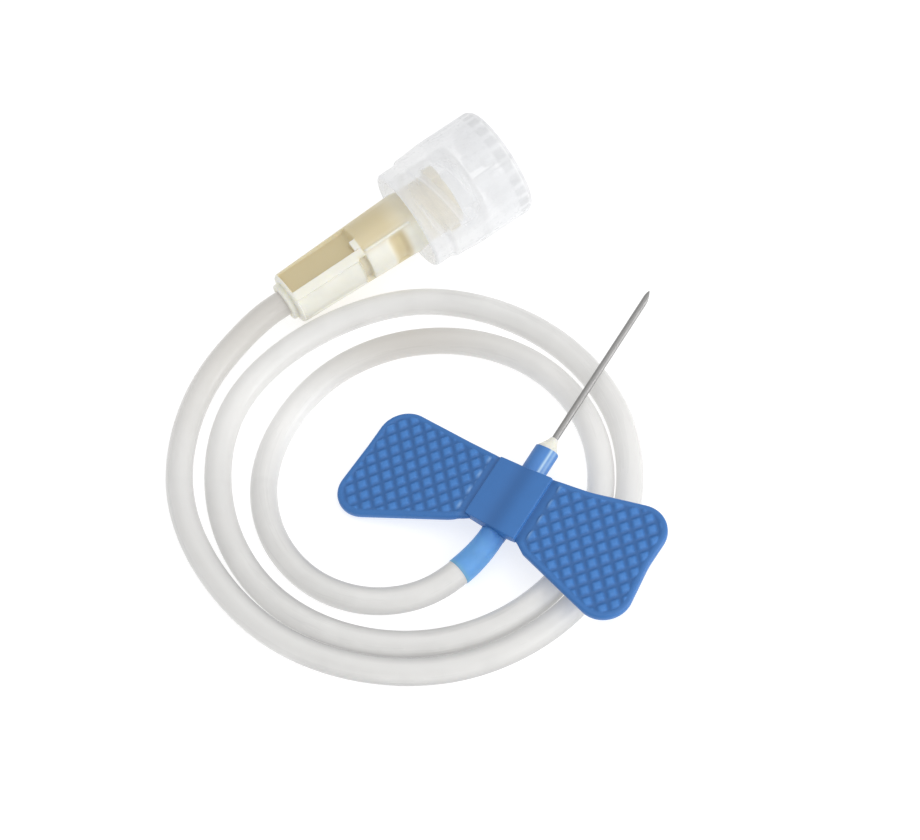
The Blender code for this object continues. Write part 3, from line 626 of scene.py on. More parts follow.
def tube_finish(white):
    """Frosted clear tube: milky and cloudy, with drawn streaks, painted shade on its sides, a darker
    warmer tint on some reaches, painted highlights on others, and a painted glow from its emission.
    """
    made = Finish("frosted_tube")
    surface = made.tree.nodes.new("ShaderNodeUVMap")
    surface.uv_map = "tube_uv"
    drawn = made.node("Mapping", "Vector", Vector=surface.outputs["UV"], Scale=(40.0, 6.0, 1.0))
    streaks = made.noise(1.0, 4.0, 0.6, drawn)
    clouds = made.noise(260.0)
    light = made.clouded(made.spread(clouds, 0.35, 0.65), white, 0.94, 1.05)
    light = made.mixed(made.spread(streaks, 0.35, 0.65), light, scaled(white, 1.02))
    # Darker, warmer tint where the warm tone is set.
    light = made.mixed(made.tone("warm"), light, scaled(white, (0.84, 0.815, 0.78)))
    # Painted highlight where the pale tone is set.
    light = made.mixed(made.tone("pale"), light, scaled(white, 1.20))
    # Painted shade: the sides grow darker as they turn away, as strongly as the side tone says.
    turned = made.spread(made.node("LayerWeight", "Facing", Blend=0.50), 0.12, 0.80)
    shaded = made.mixed(made.times(turned, made.tone("side")), light,
                        scaled(white, (0.60, 0.60, 0.61)))
    # The emission is a painted glow, which lifts the shade between the strands.
    return made.dress(
        Base_Color=shaded, Roughness=made.spread(streaks, 0.3, 0.7, 0.24, 0.36), IOR=1.40,
        Subsurface_Weight=0.8, Subsurface_Scale=1.2 * MM, Subsurface_Radius=(1.0, 0.97, 0.93),
        Emission_Color=shaded, Emission_Strength=0.62, Normal=made.bump(clouds, 0.05, 0.2 * MM))


def ivory_finish(name, colours, gloss):
    """Ivory plastic with a faint grain, mixed towards the tan colour as painted shade where the depth
    tone is set.
    """
    made = Finish(name)
    cloud = made.clouded(made.grain(500.0, 0.0, 1.0), colours.ivory, 0.96, 1.03)
    return made.dress(
        # Painted shade: the depth tone mixes the ivory towards tan.
        Base_Color=made.mixed(made.tone("depth"), cloud, colours.tan),
        Roughness=made.grain(2500.0, gloss - 0.05, gloss + 0.07), Subsurface_Weight=0.5,
        Subsurface_Scale=1.0 * MM, Subsurface_Radius=(1.0, 0.9, 0.6),
        Normal=made.bump(made.noise(5000.0), 0.06, 0.03 * MM))


def steel_finish(steel):
    """Drawn steel: fine lines along the needle in its shine."""
    made = Finish("drawn_steel")
    back = tuple(-part for part in bpy.context.scene.set_place.set_turn)
    along = made.node("Mapping", "Vector", Vector=made.point, Rotation=back)
    drawn = made.node("Mapping", "Vector", Vector=along, Scale=(20000.0, 150.0, 20000.0))
    lines = made.noise(1.0, 4.0, point=drawn)
    return made.dress(
        Base_Color=made.clouded(lines, steel, 0.82, 1.12), Metallic=1.0,
        Roughness=made.spread(lines, 0.3, 0.7, 0.40, 0.54),
        Normal=made.bump(lines, 0.15, 0.004 * MM))


def cap_finish(white):
    """Clear plastic with a slightly frosted skin: it hides more where it turns away. Its edges grey as
    painted shade, the shade tone paints shade, and its emission is a painted glow.
    """
    made = Finish("clear_plastic")
    cloud = made.noise(350.0)
    facing = made.node("LayerWeight", "Facing", Blend=0.45)
    # Painted shade: greyer where the surface turns away.
    rimmed = made.mixed(made.spread(facing, 0.45, 1.0), made.clouded(cloud, white, 0.97, 1.03),
                        scaled(white, 0.80))
    hiding = made.times(made.spread(facing, 0.0, 0.9, 0.42, 1.0),
                        made.spread(made.tone("veil"), 0.0, 1.0, 0.55, 1.0))
    return made.dress(
        Base_Color=made.mixed(made.tone("shade"), rimmed, scaled(white, 0.62)),
        Roughness=made.grain(1800.0, 0.24, 0.36), Alpha=hiding, IOR=1.46,
        # The emission is a painted glow that evens out the cap's shading.
        Emission_Color=rimmed, Emission_Strength=0.43, Normal=made.bump(cloud, 0.06, 0.2 * MM))


def table_finish(white):
    """A pale matt table that is half lit from within, with a faint unevenness."""
    made = Finish("table_white")
    grain = made.noise(30.0)
    return made.dress(
        Base_Color=made.clouded(grain, scaled(white, 0.52), 0.99, 1.0), Roughness=0.9,
        Emission_Color=made.clouded(grain, white, 0.995, 1.0), Emission_Strength=0.89)


class BUTTERFLY_OT_stage(bpy.types.Operator):
    """Make the camera, the soft lights and the pale table"""

    bl_idname = "butterfly.stage"
    bl_label = "Stage"

    def execute(self, context):
        scene = context.scene
        scene.view_settings.view_transform = "Standard"
        lens = bpy.data.cameras.new("camera")
        lens.lens = CAMERA_LENS
        lens.clip_start = 0.01
        lens.clip_end = 20.0
        away = Vector((0.0, -math.cos(RAISED), math.sin(RAISED)))
        scene.camera = self.add(scene, lens, TARGET + away * CAMERA_REACH)
        scene.camera.rotation_euler = (QUARTER - RAISED, 0.0, 0.0)

        world = bpy.data.worlds.new("studio")
        world.use_nodes = True
        sky = world.node_tree.nodes["Background"].inputs
        sky["Color"].default_value = (1.0, 1.0, 1.0, 1.0)
        sky["Strength"].default_value = 0.64
        scene.world = world
        for name, spot, size, power in LAMPS:
            lamp = bpy.data.lights.new(name, "AREA")
            lamp.shape = "DISK"
            lamp.size = size
            lamp.energy = power
            light = self.add(scene, lamp, Vector(spot))
            light.rotation_euler = (TARGET - Vector(spot)).to_track_quat("-Z", "Y").to_euler()

        mesh = bpy.data.meshes.new("table")
        half = 1.5
        corners = [(-half, -half, 0.0), (half, -half, 0.0), (half, half, 0.0), (-half, half, 0.0)]
        mesh.from_pydata(corners, [], [(0, 1, 2, 3)])
        mesh.materials.append(table_finish(scene.set_finish.floor))
        self.add(scene, mesh, (0.0, 0.0, 0.0))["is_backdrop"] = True
        return {"FINISHED"}

    @staticmethod
    def add(scene, data, spot):
        """Put a camera, a lamp or a mesh in the scene, under its own name."""
        made = bpy.data.objects.new(data.name, data)
        made.location = spot
        scene.collection.objects.link(made)
        return made


class BUTTERFLY_OT_tubing(bpy.types.Operator):
    """Make the coiled tube: circles of one radius square to a smooth line through the route"""

    bl_idname = "butterfly.tubing"
    bl_label = "Tube"

    def execute(self, context):
        tube = context.scene.set_tube
        line, length = tube_line()
        first = int((tube.sleeve_length - 1.0 * MM) / length * (len(line) - 1))
        seated = np.linspace(0.1, 1.6, 6)[:, None] * MM
        path = np.vstack([line[first::4], line[-1] + hub_frame()[1][:, 1] * seated])
        piece = make_piece(
            "clear_tubing", WORLD, closed_rings(swept_rings(path, tube.tube_width / 2, TUBE_SIDES)),
            tube_finish(context.scene.set_finish.tube_white), "tubing",
            tones=self.casts(path - np.array(context.scene.set_place.coil_centre), length))
        along = run_of(path)
        self.add_surface_map(piece.data, along)
        return {"FINISHED"}

    @staticmethod
    def casts(away, length):
        """Strength of the painted shade on the sides, a darker warmer tint near the connector and on one
        reach, and painted highlights, from each ring's place about the coil.
        """
        angle = np.degrees(np.arctan2(away[:, 1], away[:, 0]))
        # Painted shade: strands towards the front of the coil get darker sides, and one reach is darker
        # on its inner side and lighter on its outer.
        near = 0.5 - 0.5 * np.sin(np.radians(angle))
        left = np.linspace(1.0, 0.0, len(away))
        warm = fading(left * length, 5.0 * MM, 26.0 * MM) + hump(left, 0.825, 0.032)
        # Painted highlights along two reaches of the coil.
        pale = hump(angle, 150.0, 24.0) * (0.2 + 0.8 * left) + 0.5 * hump(angle, 12.0, 26.0)
        inward = np.cos(around(TUBE_SIDES))
        bend_shade = hump(angle, -132.0, 22.0)[:, None] * inward * np.where(inward > 0.0, 0.8, 0.75)
        side_shade = (0.22 + 0.78 * near ** 2)[:, None] + bend_shade
        return {key: on_rings(values, TUBE_SIDES)
                for key, values in (("side", side_shade), ("warm", warm), ("pale", pale))}

    @staticmethod
    def add_surface_map(mesh, along):
        """Map each face corner to metres along the tube and the share of the way round it."""
        corner = np.zeros(len(mesh.loops), dtype=np.int64)
        mesh.loops.foreach_get("vertex_index", corner)
        total = np.zeros(len(mesh.polygons), dtype=np.int64)
        mesh.polygons.foreach_get("loop_total", total)
        face = np.repeat(np.arange(len(total)), total)
        row = np.minimum(corner // TUBE_SIDES, len(along) - 1)
        column = (corner % TUBE_SIDES).astype(float)
        highest = np.zeros(len(total))
        np.maximum.at(highest, face, column)
        column[(column == 0.0) & (highest[face] == TUBE_SIDES - 1)] = TUBE_SIDES
        surface = mesh.uv_layers.new(name="tube_uv")
        surface.data.foreach_set("uv", np.stack([along[row], column / TUBE_SIDES], 1).ravel())


class BUTTERFLY_OT_connector(bpy.types.Operator):
    """Make the connector: a radius for every turn and place along its axis, in two like halves"""

    bl_idname = "butterfly.connector"
    bl_label = "Connector"

    def execute(self, context):
        hub, tube = context.scene.set_connector, context.scene.set_tube
        rib = hub.rib / hub.rear_width
        edges = [quarter * QUARTER + side * rib for quarter in range(-2, 3) for side in (-1, 1)]
        edges += [hub.lug_turn + half * math.pi + side * hub.lug_half
                  for half in (0, 1) for side in (-1, 1)]
        turn = packed(-math.pi, math.pi, math.radians(1.5), edges + [0.0, -math.pi, math.pi],
                      math.radians(0.35))[:-1]
        lug_end = hub.length - 0.1 * MM
        along = packed(0.0, hub.length, 0.14 * MM,
                       (0.1 * MM, hub.lip, hub.lip + hub.shoulder / 2, hub.panel_end,
                        hub.block_start, hub.rib_end, hub.window_start, hub.window_end,
                        hub.front_at, lug_end - hub.lug_length, lug_end), 0.035 * MM)
        radius, tone = self.surface(turn[None, :], along[:, None], hub)
        socket, mouth = tube.tube_width / 2 + FIT, hub.mouth / 2
        behind = np.array([(socket, 2.2 * MM), (socket, 0.05 * MM), (socket + 0.05 * MM, 0.0)])
        bottom = hub.length - hub.mouth_depth
        ahead = np.array([(hub.tip_width / 2 - 0.3 * MM, hub.length), (mouth + 0.08 * MM, hub.length),
                          (mouth, hub.length - 0.08 * MM), (mouth - 0.03 * hub.mouth_depth, bottom),
                          (0.8 * MM, bottom)])
        rings = np.concatenate([turned_rings(*behind.T, turn), turned_rings(radius, along, turn),
                                turned_rings(*ahead.T, turn)])
        # The depth tone is painted shade: tan in the bays, on the side away from the light and where the
        # cap covers the tip.
        depth = np.full(rings.shape[:2], 0.3)
        depth[len(behind):-len(ahead)] = tone
        make_piece("connector_hub", hub_frame(), closed_rings(rings),
                   ivory_finish("connector_ivory", context.scene.set_finish, 0.38),
                   "luer_hub", tones={"depth": on_rings(depth, len(turn))}, sharp=40.0)
        return {"FINISHED"}

    @staticmethod
    def surface(turn, along, hub):
        """Radius and painted shade for each turn and place along the connector."""
        tip, edge, shoulder = hub.tip_width / 2, hub.edge, hub.shoulder
        body_start = hub.lip + shoulder
        line = np.vstack([
            arc(hub.lip_width / 2 - edge, edge, edge, -90.0, 0.0, 7),
            [(hub.lip_width / 2, hub.lip - 0.01 * MM)],
            arc(hub.rear_width / 2 - shoulder, body_start, shoulder, -90.0, 0.0, 8),
            [(hub.front_width / 2, hub.front_at), (tip, hub.front_at + 1.2 * MM),
             (tip, hub.length - edge)],
            arc(tip - edge, hub.length - edge, edge, 10.0, 90.0, 7)])
        body = np.interp(along, line[:, 1], line[:, 0])
        half = (turn + QUARTER) % math.pi - QUARTER
        rib = hub.rib / hub.rear_width
        soft = math.radians(1.6)
        start = body_start - 0.05 * MM
        lug_turn = (turn - hub.lug_turn + QUARTER) % math.pi - QUARTER
        lug_end = hub.length - 0.1 * MM

        def sector(low, high, softer=1.0):
            """One between two turns of each half."""
            return between(half, low, high, softer * soft)

        def stretch(low, high, blur):
            """One between two places along the axis, with edges soft by some millimetres."""
            return between(along, low, high, blur * MM)

        block = (sector(math.radians(-33.0), -rib)
                 * stretch(hub.block_start, hub.rib_end + 0.2 * MM, 0.06))
        flat = (sector(rib - QUARTER, -rib) * (1.0 - block)
                * smooth_step(along, start - 0.04 * MM, start + 0.04 * MM))
        deep = flat * fading(along, hub.rib_end - 0.55 * MM, hub.rib_end + 0.20 * MM)
        panel = sector(rib, QUARTER - rib, 2) * stretch(start, hub.panel_end, 0.12)
        slot = (sector(0.8 * rib, QUARTER - rib, 5)
                * stretch(hub.panel_end + 0.10 * MM, hub.rib_end, 0.22))
        crack = sector(-rib, rib) * stretch(hub.rib_end, hub.rib_end + 0.12 * MM, 0.05)
        window = (sector(0.6 * rib, QUARTER - 0.6 * rib, 10)
                  * smooth_step(along, hub.window_start - 0.4 * MM, hub.window_start + 0.5 * MM)
                  * fading(along, hub.window_end - 0.4 * MM, hub.window_end + 0.3 * MM))
        ridge = (sector(-hub.ridge / hub.front_width, hub.ridge / hub.front_width)
                 * stretch(hub.rib_end + 0.2 * MM, hub.front_at, 0.2))
        lug = (between(lug_turn, -hub.lug_half, hub.lug_half, soft)
               * stretch(lug_end - hub.lug_length, lug_end, 0.12))
        radius = body + (hub.facet / np.cos(half + math.pi / 4) - body) * deep
        radius += (hub.core - body) * slot + (hub.lug_reach - body) * lug
        radius += hub.ridge_proud * ridge
        radius -= hub.sink * panel + hub.window_sink * window + 0.07 * MM * crack

        # Painted shade: tan in the bays, on the flank turned from the light, on the edge of the far rib,
        # in the slot and the hollow, and on the tip inside the cap; the thin ridge is kept out of it.
        flank = np.maximum(fading(half, math.radians(-14.0), math.radians(16.0)),
                           smooth_step(half, math.radians(70.0), math.radians(89.0)))
        flank = (flank * smooth_step(along, hub.rib_end - 0.1 * MM, hub.rib_end + 0.1 * MM)
                 * (1.0 - 0.55 * smooth_step(along, hub.window_start, hub.front_at + 0.6 * MM)))
        far_rib = (smooth_step(np.abs(half), QUARTER - 1.6 * rib, QUARTER - 0.9 * rib)
                   * stretch(start, hub.rib_end, 0.3) * (half < 0.0))
        patch = (sector(0.3 * rib, QUARTER, 8) * stretch(hub.panel_end, hub.rib_end, 0.35))
        hollow = (sector(0.2 * rib, QUARTER, 10)
                  * stretch(hub.window_start - 0.1 * MM, hub.window_end + 0.2 * MM, 0.9))
        inside = smooth_step(along, hub.front_at + 0.8 * MM, hub.front_at + 1.4 * MM)
        tone = flat * fading(along, hub.rib_end, hub.rib_end + 0.4 * MM)
        for shade in (0.5 * patch, hollow, 0.9 * far_rib, 0.92 * flank, 0.6 * inside):
            tone = np.maximum(tone, shade)
        return radius, tone * (1.0 - 0.7 * ridge)


class BUTTERFLY_OT_cap(bpy.types.Operator):
    """Make the cap: a line turned about its axis, with a threaded inside and pockets in its end"""

    bl_idname = "butterfly.cap"
    bl_label = "Cap"

    def execute(self, context):
        cap = context.scene.set_cap
        turn = (np.arange(cap.pockets)[:, None] + POCKET_PLACES).ravel() / cap.pockets * ROUND
        cavity, tip = cap.cavity / 2, cap.cone_tip / 2
        cone = np.vstack([
            [(tip - cap.soft, cap.cone_start)],
            arc(tip - cap.soft, cap.cone_start + cap.soft, cap.soft, -60.0, 0.0, 4),
            [(tip + 0.03 * (cap.floor - cap.cone_start), cap.floor), (cavity - cap.soft, cap.floor)]])
        wall = np.linspace(cap.floor - 0.1 * MM, cap.soft, 60)
        thread = self.thread(turn, wall[:, None], cap)
        outside = self.outside(cap)
        level = outside[:, 1:]
        near = np.linspace(0.02, -0.02, 3) * MM
        reach = np.concatenate([
            np.linspace(cap.body_width / 2 - cap.round_end, cap.pocket_out + 0.05 * MM, 3)[1:],
            cap.pocket_out + near,
            np.linspace(cap.pocket_out - 0.15 * MM, cap.pocket_in + 0.15 * MM, 8),
            cap.pocket_in + near, (1.9 * MM, 0.9 * MM, 0.2 * MM)])
        rings = np.concatenate([
            turned_rings(*cone.T, turn),
            turned_rings(cavity - thread, wall, turn),
            turned_rings(outside[:, :1] - self.grip(turn, level, cap), level, turn),
            turned_rings(reach, cap.length - self.pocket(turn, reach[:, None], cap), turn)])
        rings[:, :, 1] += cap.start

        inner = slice(len(cone), len(cone) + len(wall))
        outer = slice(inner.stop, inner.stop + len(outside))
        # Painted shade: darker windows where the pockets show through the wall, and a grey band along the
        # rounding of the closed end.
        pocket_shade = between(turn * cap.pockets / math.pi % 1.0, 0.14, 0.80, 0.18) * between(
            level, cap.length - 1.7 * MM, cap.length - 0.55 * MM, 0.30 * MM)
        last = between(level, cap.length - 0.50 * MM, cap.length - 0.12 * MM, 0.16 * MM)
        shade = np.zeros(rings.shape[:2])
        shade[outer] = np.maximum(0.62 * pocket_shade, 0.60 * last)
        veil = np.ones(rings.shape[:2])
        veil[inner] = thread / cap.thread
        veil[outer] -= 0.75 * between(level, 0.8 * MM, 6.2 * MM, 1.2 * MM)
        make_piece("connector_cap", hub_frame(), closed_rings(rings),
                   cap_finish(context.scene.set_finish.cap_white), "luer_cap", "cap",
                   tones={"shade": on_rings(shade, len(turn)), "veil": on_rings(veil, len(turn))},
                   sharp=35.0)
        return {"FINISHED"}

    @staticmethod
    def outside(cap):
        """The cap's outer line from its rim to its closed end, as (radius, along)."""
        collar, step, body = cap.collar_width / 2, cap.step_width / 2, cap.body_width / 2
        rim = 0.35 * MM
        end = cap.length - cap.round_end
        along = np.concatenate([
            np.linspace(0.6 * MM, cap.collar - 0.30 * MM, 4),
            np.linspace(-0.2, 0.4, 12) * MM + cap.collar,
            np.linspace(cap.collar + 0.5 * MM, cap.length - 2.8 * MM, 16),
            np.linspace(cap.length - 2.6 * MM, end, 18)[:-1]])
        to_step = smooth_step(along, cap.collar - 0.20 * MM, cap.collar + 0.35 * MM)
        to_body = smooth_step(along, cap.collar + 0.5 * MM, cap.step + 1.2 * MM)
        radius = collar + (step - collar) * to_step + (body - step) * to_body
        return np.vstack([arc(collar - rim, rim, rim, -110.0, 0.0, 10),
                          np.column_stack([radius, along]),
                          arc(body - cap.round_end, end, cap.round_end, 0.0, 90.0, 12)])

    @staticmethod
    def thread(turn, along, cap):
        """Height of a two-start thread on the cap's inner wall."""
        phase = (2.0 * along / cap.lead - turn / math.pi) % 1.0
        ends = between(along, 1.2 * MM, cap.floor - 0.8 * MM, 0.5 * MM)
        return cap.thread * between(phase, 0.38, 0.62, 0.16) * ends

    @staticmethod
    def grip(turn, along, cap):
        """Depth of the grip's shallow flutes, which fade at the closed end."""
        flute = 0.5 - 0.5 * np.cos(cap.pockets * turn)
        ends = between(along, cap.step + 0.5 * MM, cap.length - 0.6 * MM, 0.6 * MM)
        return cap.grip * flute ** 3 * ends

    @staticmethod
    def pocket(turn, reach, cap):
        """Depth of the closed end's pockets, one in each share of the turn."""
        cell = turn * cap.pockets / ROUND % 1.0
        wall = cap.pocket_wall / 2 * cap.pockets / (ROUND * reach)
        sides = between(reach, cap.pocket_in, cap.pocket_out, 0.03 * MM)
        return cap.pocket_depth * between(cell, wall, 1.0 - wall, 0.03) * sides


class BUTTERFLY_OT_sleeve(bpy.types.Operator):
    """Make the blue sleeve: circles on the tube's line that widen slowly, with a socket in the end"""

    bl_idname = "butterfly.sleeve"
    bl_label = "Sleeve"

    def execute(self, context):
        tube = context.scene.set_tube
        line, length = tube_line()
        last = int(tube.sleeve_length / length * (len(line) - 1))
        path = line[:last + 1]
        share = np.linspace(0.0, 1.0, len(path))
        left = (1.0 - share) * tube.sleeve_length
        wider = (tube.sleeve_end - tube.sleeve_start) * smooth_step(share, 0.0, 1.0)
        lip = 0.03 * MM
        rounding = np.sqrt(np.maximum(lip ** 2 - np.maximum(lip - left, 0.0) ** 2, 0.0)) - lip
        socket = np.nonzero(left < 0.3 * MM)[0][::-1]
        outer = swept_rings(path, (tube.sleeve_start + wider) / 2 + rounding, SLEEVE_SIDES)
        inner = swept_rings(path, tube.tube_width / 2 + FIT, SLEEVE_SIDES)[socket]
        along = np.concatenate([share, share[socket]])
        # Painted shade: the sleeve darkens towards wing blue where it runs into the saddle.
        tone = 0.35 + 0.65 * smooth_step(along, 0.12, 0.50)
        make_piece("tube_sleeve_soft", WORLD, closed_rings(np.concatenate([outer, inner])),
                   sleeve_finish(context.scene.set_finish), "tube_sleeve",
                   tones={"along": on_rings(tone, SLEEVE_SIDES)}, sharp=50.0)
        return {"FINISHED"}


class BUTTERFLY_OT_needle(bpy.types.Operator):
    """Make the steel needle: a tube whose end is the lowest of one long and two side bevels"""

    bl_idname = "butterfly.needle"
    bl_label = "Needle"

    def execute(self, context):
        needle = context.scene.set_needle
        turn = around(NEEDLE_SIDES)
        back = needle.barrel_front - needle.needle_seated
        shares = np.linspace(0.0, 1.0, 30)
        rings = []
        for width, order in ((needle.needle_width, shares), (needle.needle_bore, shares[::-1])):
            end = self.ground_end(width / 2, turn, needle)
            rings.append(turned_rings(np.full(len(shares), width / 2),
                                      back + (end - back) * order[:, None], turn, needle.barrel_drop))
        make_piece("needle_shaft", set_frame(), closed_rings(np.concatenate(rings), joined=True),
                   steel_finish(context.scene.set_finish.steel), "needle_tube",
                   sharp=30.0)
        return {"FINISHED"}

    @staticmethod
    def ground_end(radius, turn, needle):
        """How far the ground end reaches at each turn, for a wall at this radius."""
        front = needle.barrel_front + needle.nose + needle.needle_free
        height = needle.needle_width / 2 - radius * np.cos(turn)
        long_cut = front - height / math.tan(needle.bevel)
        side = (np.abs(radius * np.sin(turn)) * math.sin(needle.lancet_turn)
                + height * math.cos(needle.lancet_turn))
        side_cut = front - side / math.tan(needle.lancet)
        return np.maximum(np.minimum(long_cut, side_cut), long_cut - 0.45 * needle.needle_width)


class BUTTERFLY_OT_barrel(bpy.types.Operator):
    """Make the barrel and the needle's holder: profiles turned about the needle's axis"""

    bl_idname = "butterfly.barrel"
    bl_label = "Barrel and holder"

    def execute(self, context):
        needle, colours = context.scene.set_needle, context.scene.set_finish
        turn = around(BARREL_SIDES)
        outer = needle.barrel_width / 2
        front, rear = needle.barrel_front, -needle.barrel_rear
        soft = 0.05 * MM
        wall = np.linspace(rear + 2 * soft, front - 2 * soft, 12)
        profile = np.vstack([
            [(outer - soft, rear)], arc(outer - soft, rear + soft, soft, -80.0, 0.0, 6),
            np.column_stack([np.full(12, outer), wall]),
            arc(outer - soft, front - soft, soft, 0.0, 90.0, 8),
            [(outer - 0.16 * MM, front), (outer - 0.20 * MM, front - 0.05 * MM)]])
        share = (profile[:, 1:] - rear) / (front - rear)
        lean = needle.barrel_slant * share ** 8 * np.maximum(np.cos(turn), 0.0) ** 1.5
        # Painted light: a painted highlight along the barrel's right side, and a height tone that is
        # lighter on that side and darker on the other.
        barrel_highlight = (0.04 + 0.85 * hump(turn, math.radians(43.0), 0.11)
                  + 0.40 * hump(turn, math.radians(66.0), 0.16))
        tones = {"height": 0.78 + 0.22 * np.sin(turn), "streak": np.minimum(barrel_highlight, 1.0)}
        make_piece("barrel_tube", set_frame(),
                   closed_rings(turned_rings(profile[:, 0], profile[:, 1:] - lean, turn,
                                             needle.barrel_drop)),
                   vinyl_finish("barrel_vinyl", colours), "hub_barrel",
                   tones={key: on_rings(np.tile(tone, (len(profile), 1)), len(turn))
                          for key, tone in tones.items()}, sharp=50.0)

        wide, tip, bore = outer - 0.10 * MM, needle.nose_tip / 2, needle.needle_width / 2
        base, end, glue = front - 0.02 * MM, front + needle.nose, 0.12 * MM
        share = np.linspace(0.0, 1.0, 26)[1:-1]
        cone = np.column_stack([tip + (wide - tip) * (1.0 - share) ** 1.25,
                                base + (end - base) * share])
        profile = np.vstack([
            [(bore + 0.1 * MM, front - 1.5 * MM), (wide - 0.3 * MM, front - 1.5 * MM), (wide, base)],
            cone, arc(tip - glue, end, glue, 0.0, 90.0, 6), [(bore + FIT, end + 0.10 * MM)]])
        shape = closed_rings(turned_rings(*profile.T, turn, needle.barrel_drop))
        make_piece("holder_nose", set_frame(), shape, ivory_finish("holder_ivory", colours, 0.30),
                   "needle_holder", tones={"depth": np.zeros(len(shape[0]))})
        return {"FINISHED"}


class BUTTERFLY_OT_saddle(bpy.types.Operator):
    """Make the band between the wings: one profile carried along the needle, shrunk at its ends"""

    bl_idname = "butterfly.saddle"
    bl_label = "Saddle"

    def execute(self, context):
        needle, wings = context.scene.set_needle, context.scene.set_wings
        half = wings.saddle_width / 2
        left = half + wings.saddle_left
        web = -wings.web_level * wings.plate - wings.web / 2
        crisp = 0.10 * MM
        across = packed(-left, half, 0.10 * MM, (crisp / 2 - left, half - crisp / 2), 0.022 * MM)
        dish = hump(across, -0.02 * MM, 1.00 * MM)
        fall = smooth_step(across, half - crisp, half) + smooth_step(-across, left - crisp, left)
        top = np.column_stack([across, -0.06 * MM * dish - wings.hinge_level * fall])
        right_side = [(half, web), (half - 0.5 * MM, -wings.plate)]
        left_side = [(-left + 0.5 * MM, -wings.plate), (-left, web)]

        angle = np.radians(np.linspace(0.0, 90.0, 8))
        soft = 0.12 * MM
        ends, inset = soft * (1.0 - np.cos(angle)), soft * (1.0 - np.sin(angle))
        rows = np.concatenate([-wings.saddle_rear + ends, np.linspace(-3.2, 3.0, 27) * MM,
                               (wings.saddle_front - ends)[::-1]])
        insets = np.concatenate([inset, np.zeros(27), inset[::-1]])
        wide = needle.barrel_width / 2 + 0.05 * MM + wings.saddle_wall
        join = math.asin((needle.barrel_drop - wings.plate) / wide)
        slim = smooth_step(-rows, 1.6 * MM, 3.3 * MM)
        sleeve = wide + (wings.saddle_slim / 2 - wide) * slim
        lower = np.linspace(join, -math.pi - join, 49)
        under = sleeve[:, None, None] * np.stack([np.cos(lower), np.sin(lower)], -1)
        under[:, :, 1] -= needle.barrel_drop
        top, right_side, left_side = (np.broadcast_to(part, (len(rows), len(part), 2))
                                      for part in (top, right_side, left_side))
        section = np.concatenate([top, right_side, under, left_side], axis=1)
        centre = np.array([0.0, -1.2 * MM])
        away = section - centre
        section = centre + away * (1.0 - insets[:, None] / np.linalg.norm(away, axis=2))[:, :, None]
        skew = wings.saddle_skew * smooth_step(-rows, 1.5 * MM, 3.6 * MM)
        along = rows[:, None] - skew[:, None] * section[:, :, 0] / half
        # Tone of the band's top: darker along its middle over the barrel, and lighter towards the right
        # as painted light from that side.
        deep = np.full(section.shape[1], 0.50)
        deep[:len(across)] = 0.52 - 0.50 * dish + 0.10 * across / half
        make_piece("saddle_band", set_frame(),
                   closed_rings(np.stack([section[:, :, 0], along, section[:, :, 1]], -1)),
                   vinyl_finish("saddle_vinyl", context.scene.set_finish), "wing_saddle",
                   tones={"height": np.append(np.tile(deep, len(rows)), (0.5, 0.5))}, sharp=70.0)
        return {"FINISHED"}


def rounded_outline(corners, steps):
    """A closed outline through corners (x, y, radius), with each corner an arc of equal steps."""
    points, radii = corners[:, :2], corners[:, 2:]
    ahead = np.roll(points, -1, axis=0) - points
    ahead /= np.linalg.norm(ahead, axis=1)[:, None]
    inward = np.stack([ahead[:, 1], -ahead[:, 0]], axis=1)
    before = np.roll(inward, 1, axis=0)
    bisector = inward + before
    centre = points + bisector / np.sum(bisector * before, axis=1)[:, None] * radii
    start = np.arctan2(*(-before * radii).T[::-1])
    end = np.arctan2(*(-inward * radii).T[::-1])
    sweep = (end - start + math.pi) % ROUND - math.pi
    angle = start[:, None] + sweep[:, None] * np.linspace(0.0, 1.0, steps)
    arcs = centre[:, None] + np.abs(radii)[:, None] * np.stack([np.cos(angle), np.sin(angle)], -1)
    return arcs.reshape(-1, 2)


def side_of(outline, start, end, shares):
    """Points at given shares of the way along a closed outline, from one index to another."""
    run = outline[(start + np.arange((end - start) % len(outline) + 1)) % len(outline)]
    length = run_of(run)
    return at_lengths(run, length, shares * length[-1])


def distance_to(points, line):
    """Shortest distance from each point to an open line of straight stretches."""
    nearest = np.full(len(points), np.inf)
    for start, stretch in zip(line[:-1], np.diff(line, axis=0)):
        share = np.clip((points - start) @ stretch / (stretch @ stretch), 0.0, 1.0)
        away = points - start - share[:, None] * stretch
        nearest = np.minimum(nearest, np.linalg.norm(away, axis=1))
    return nearest


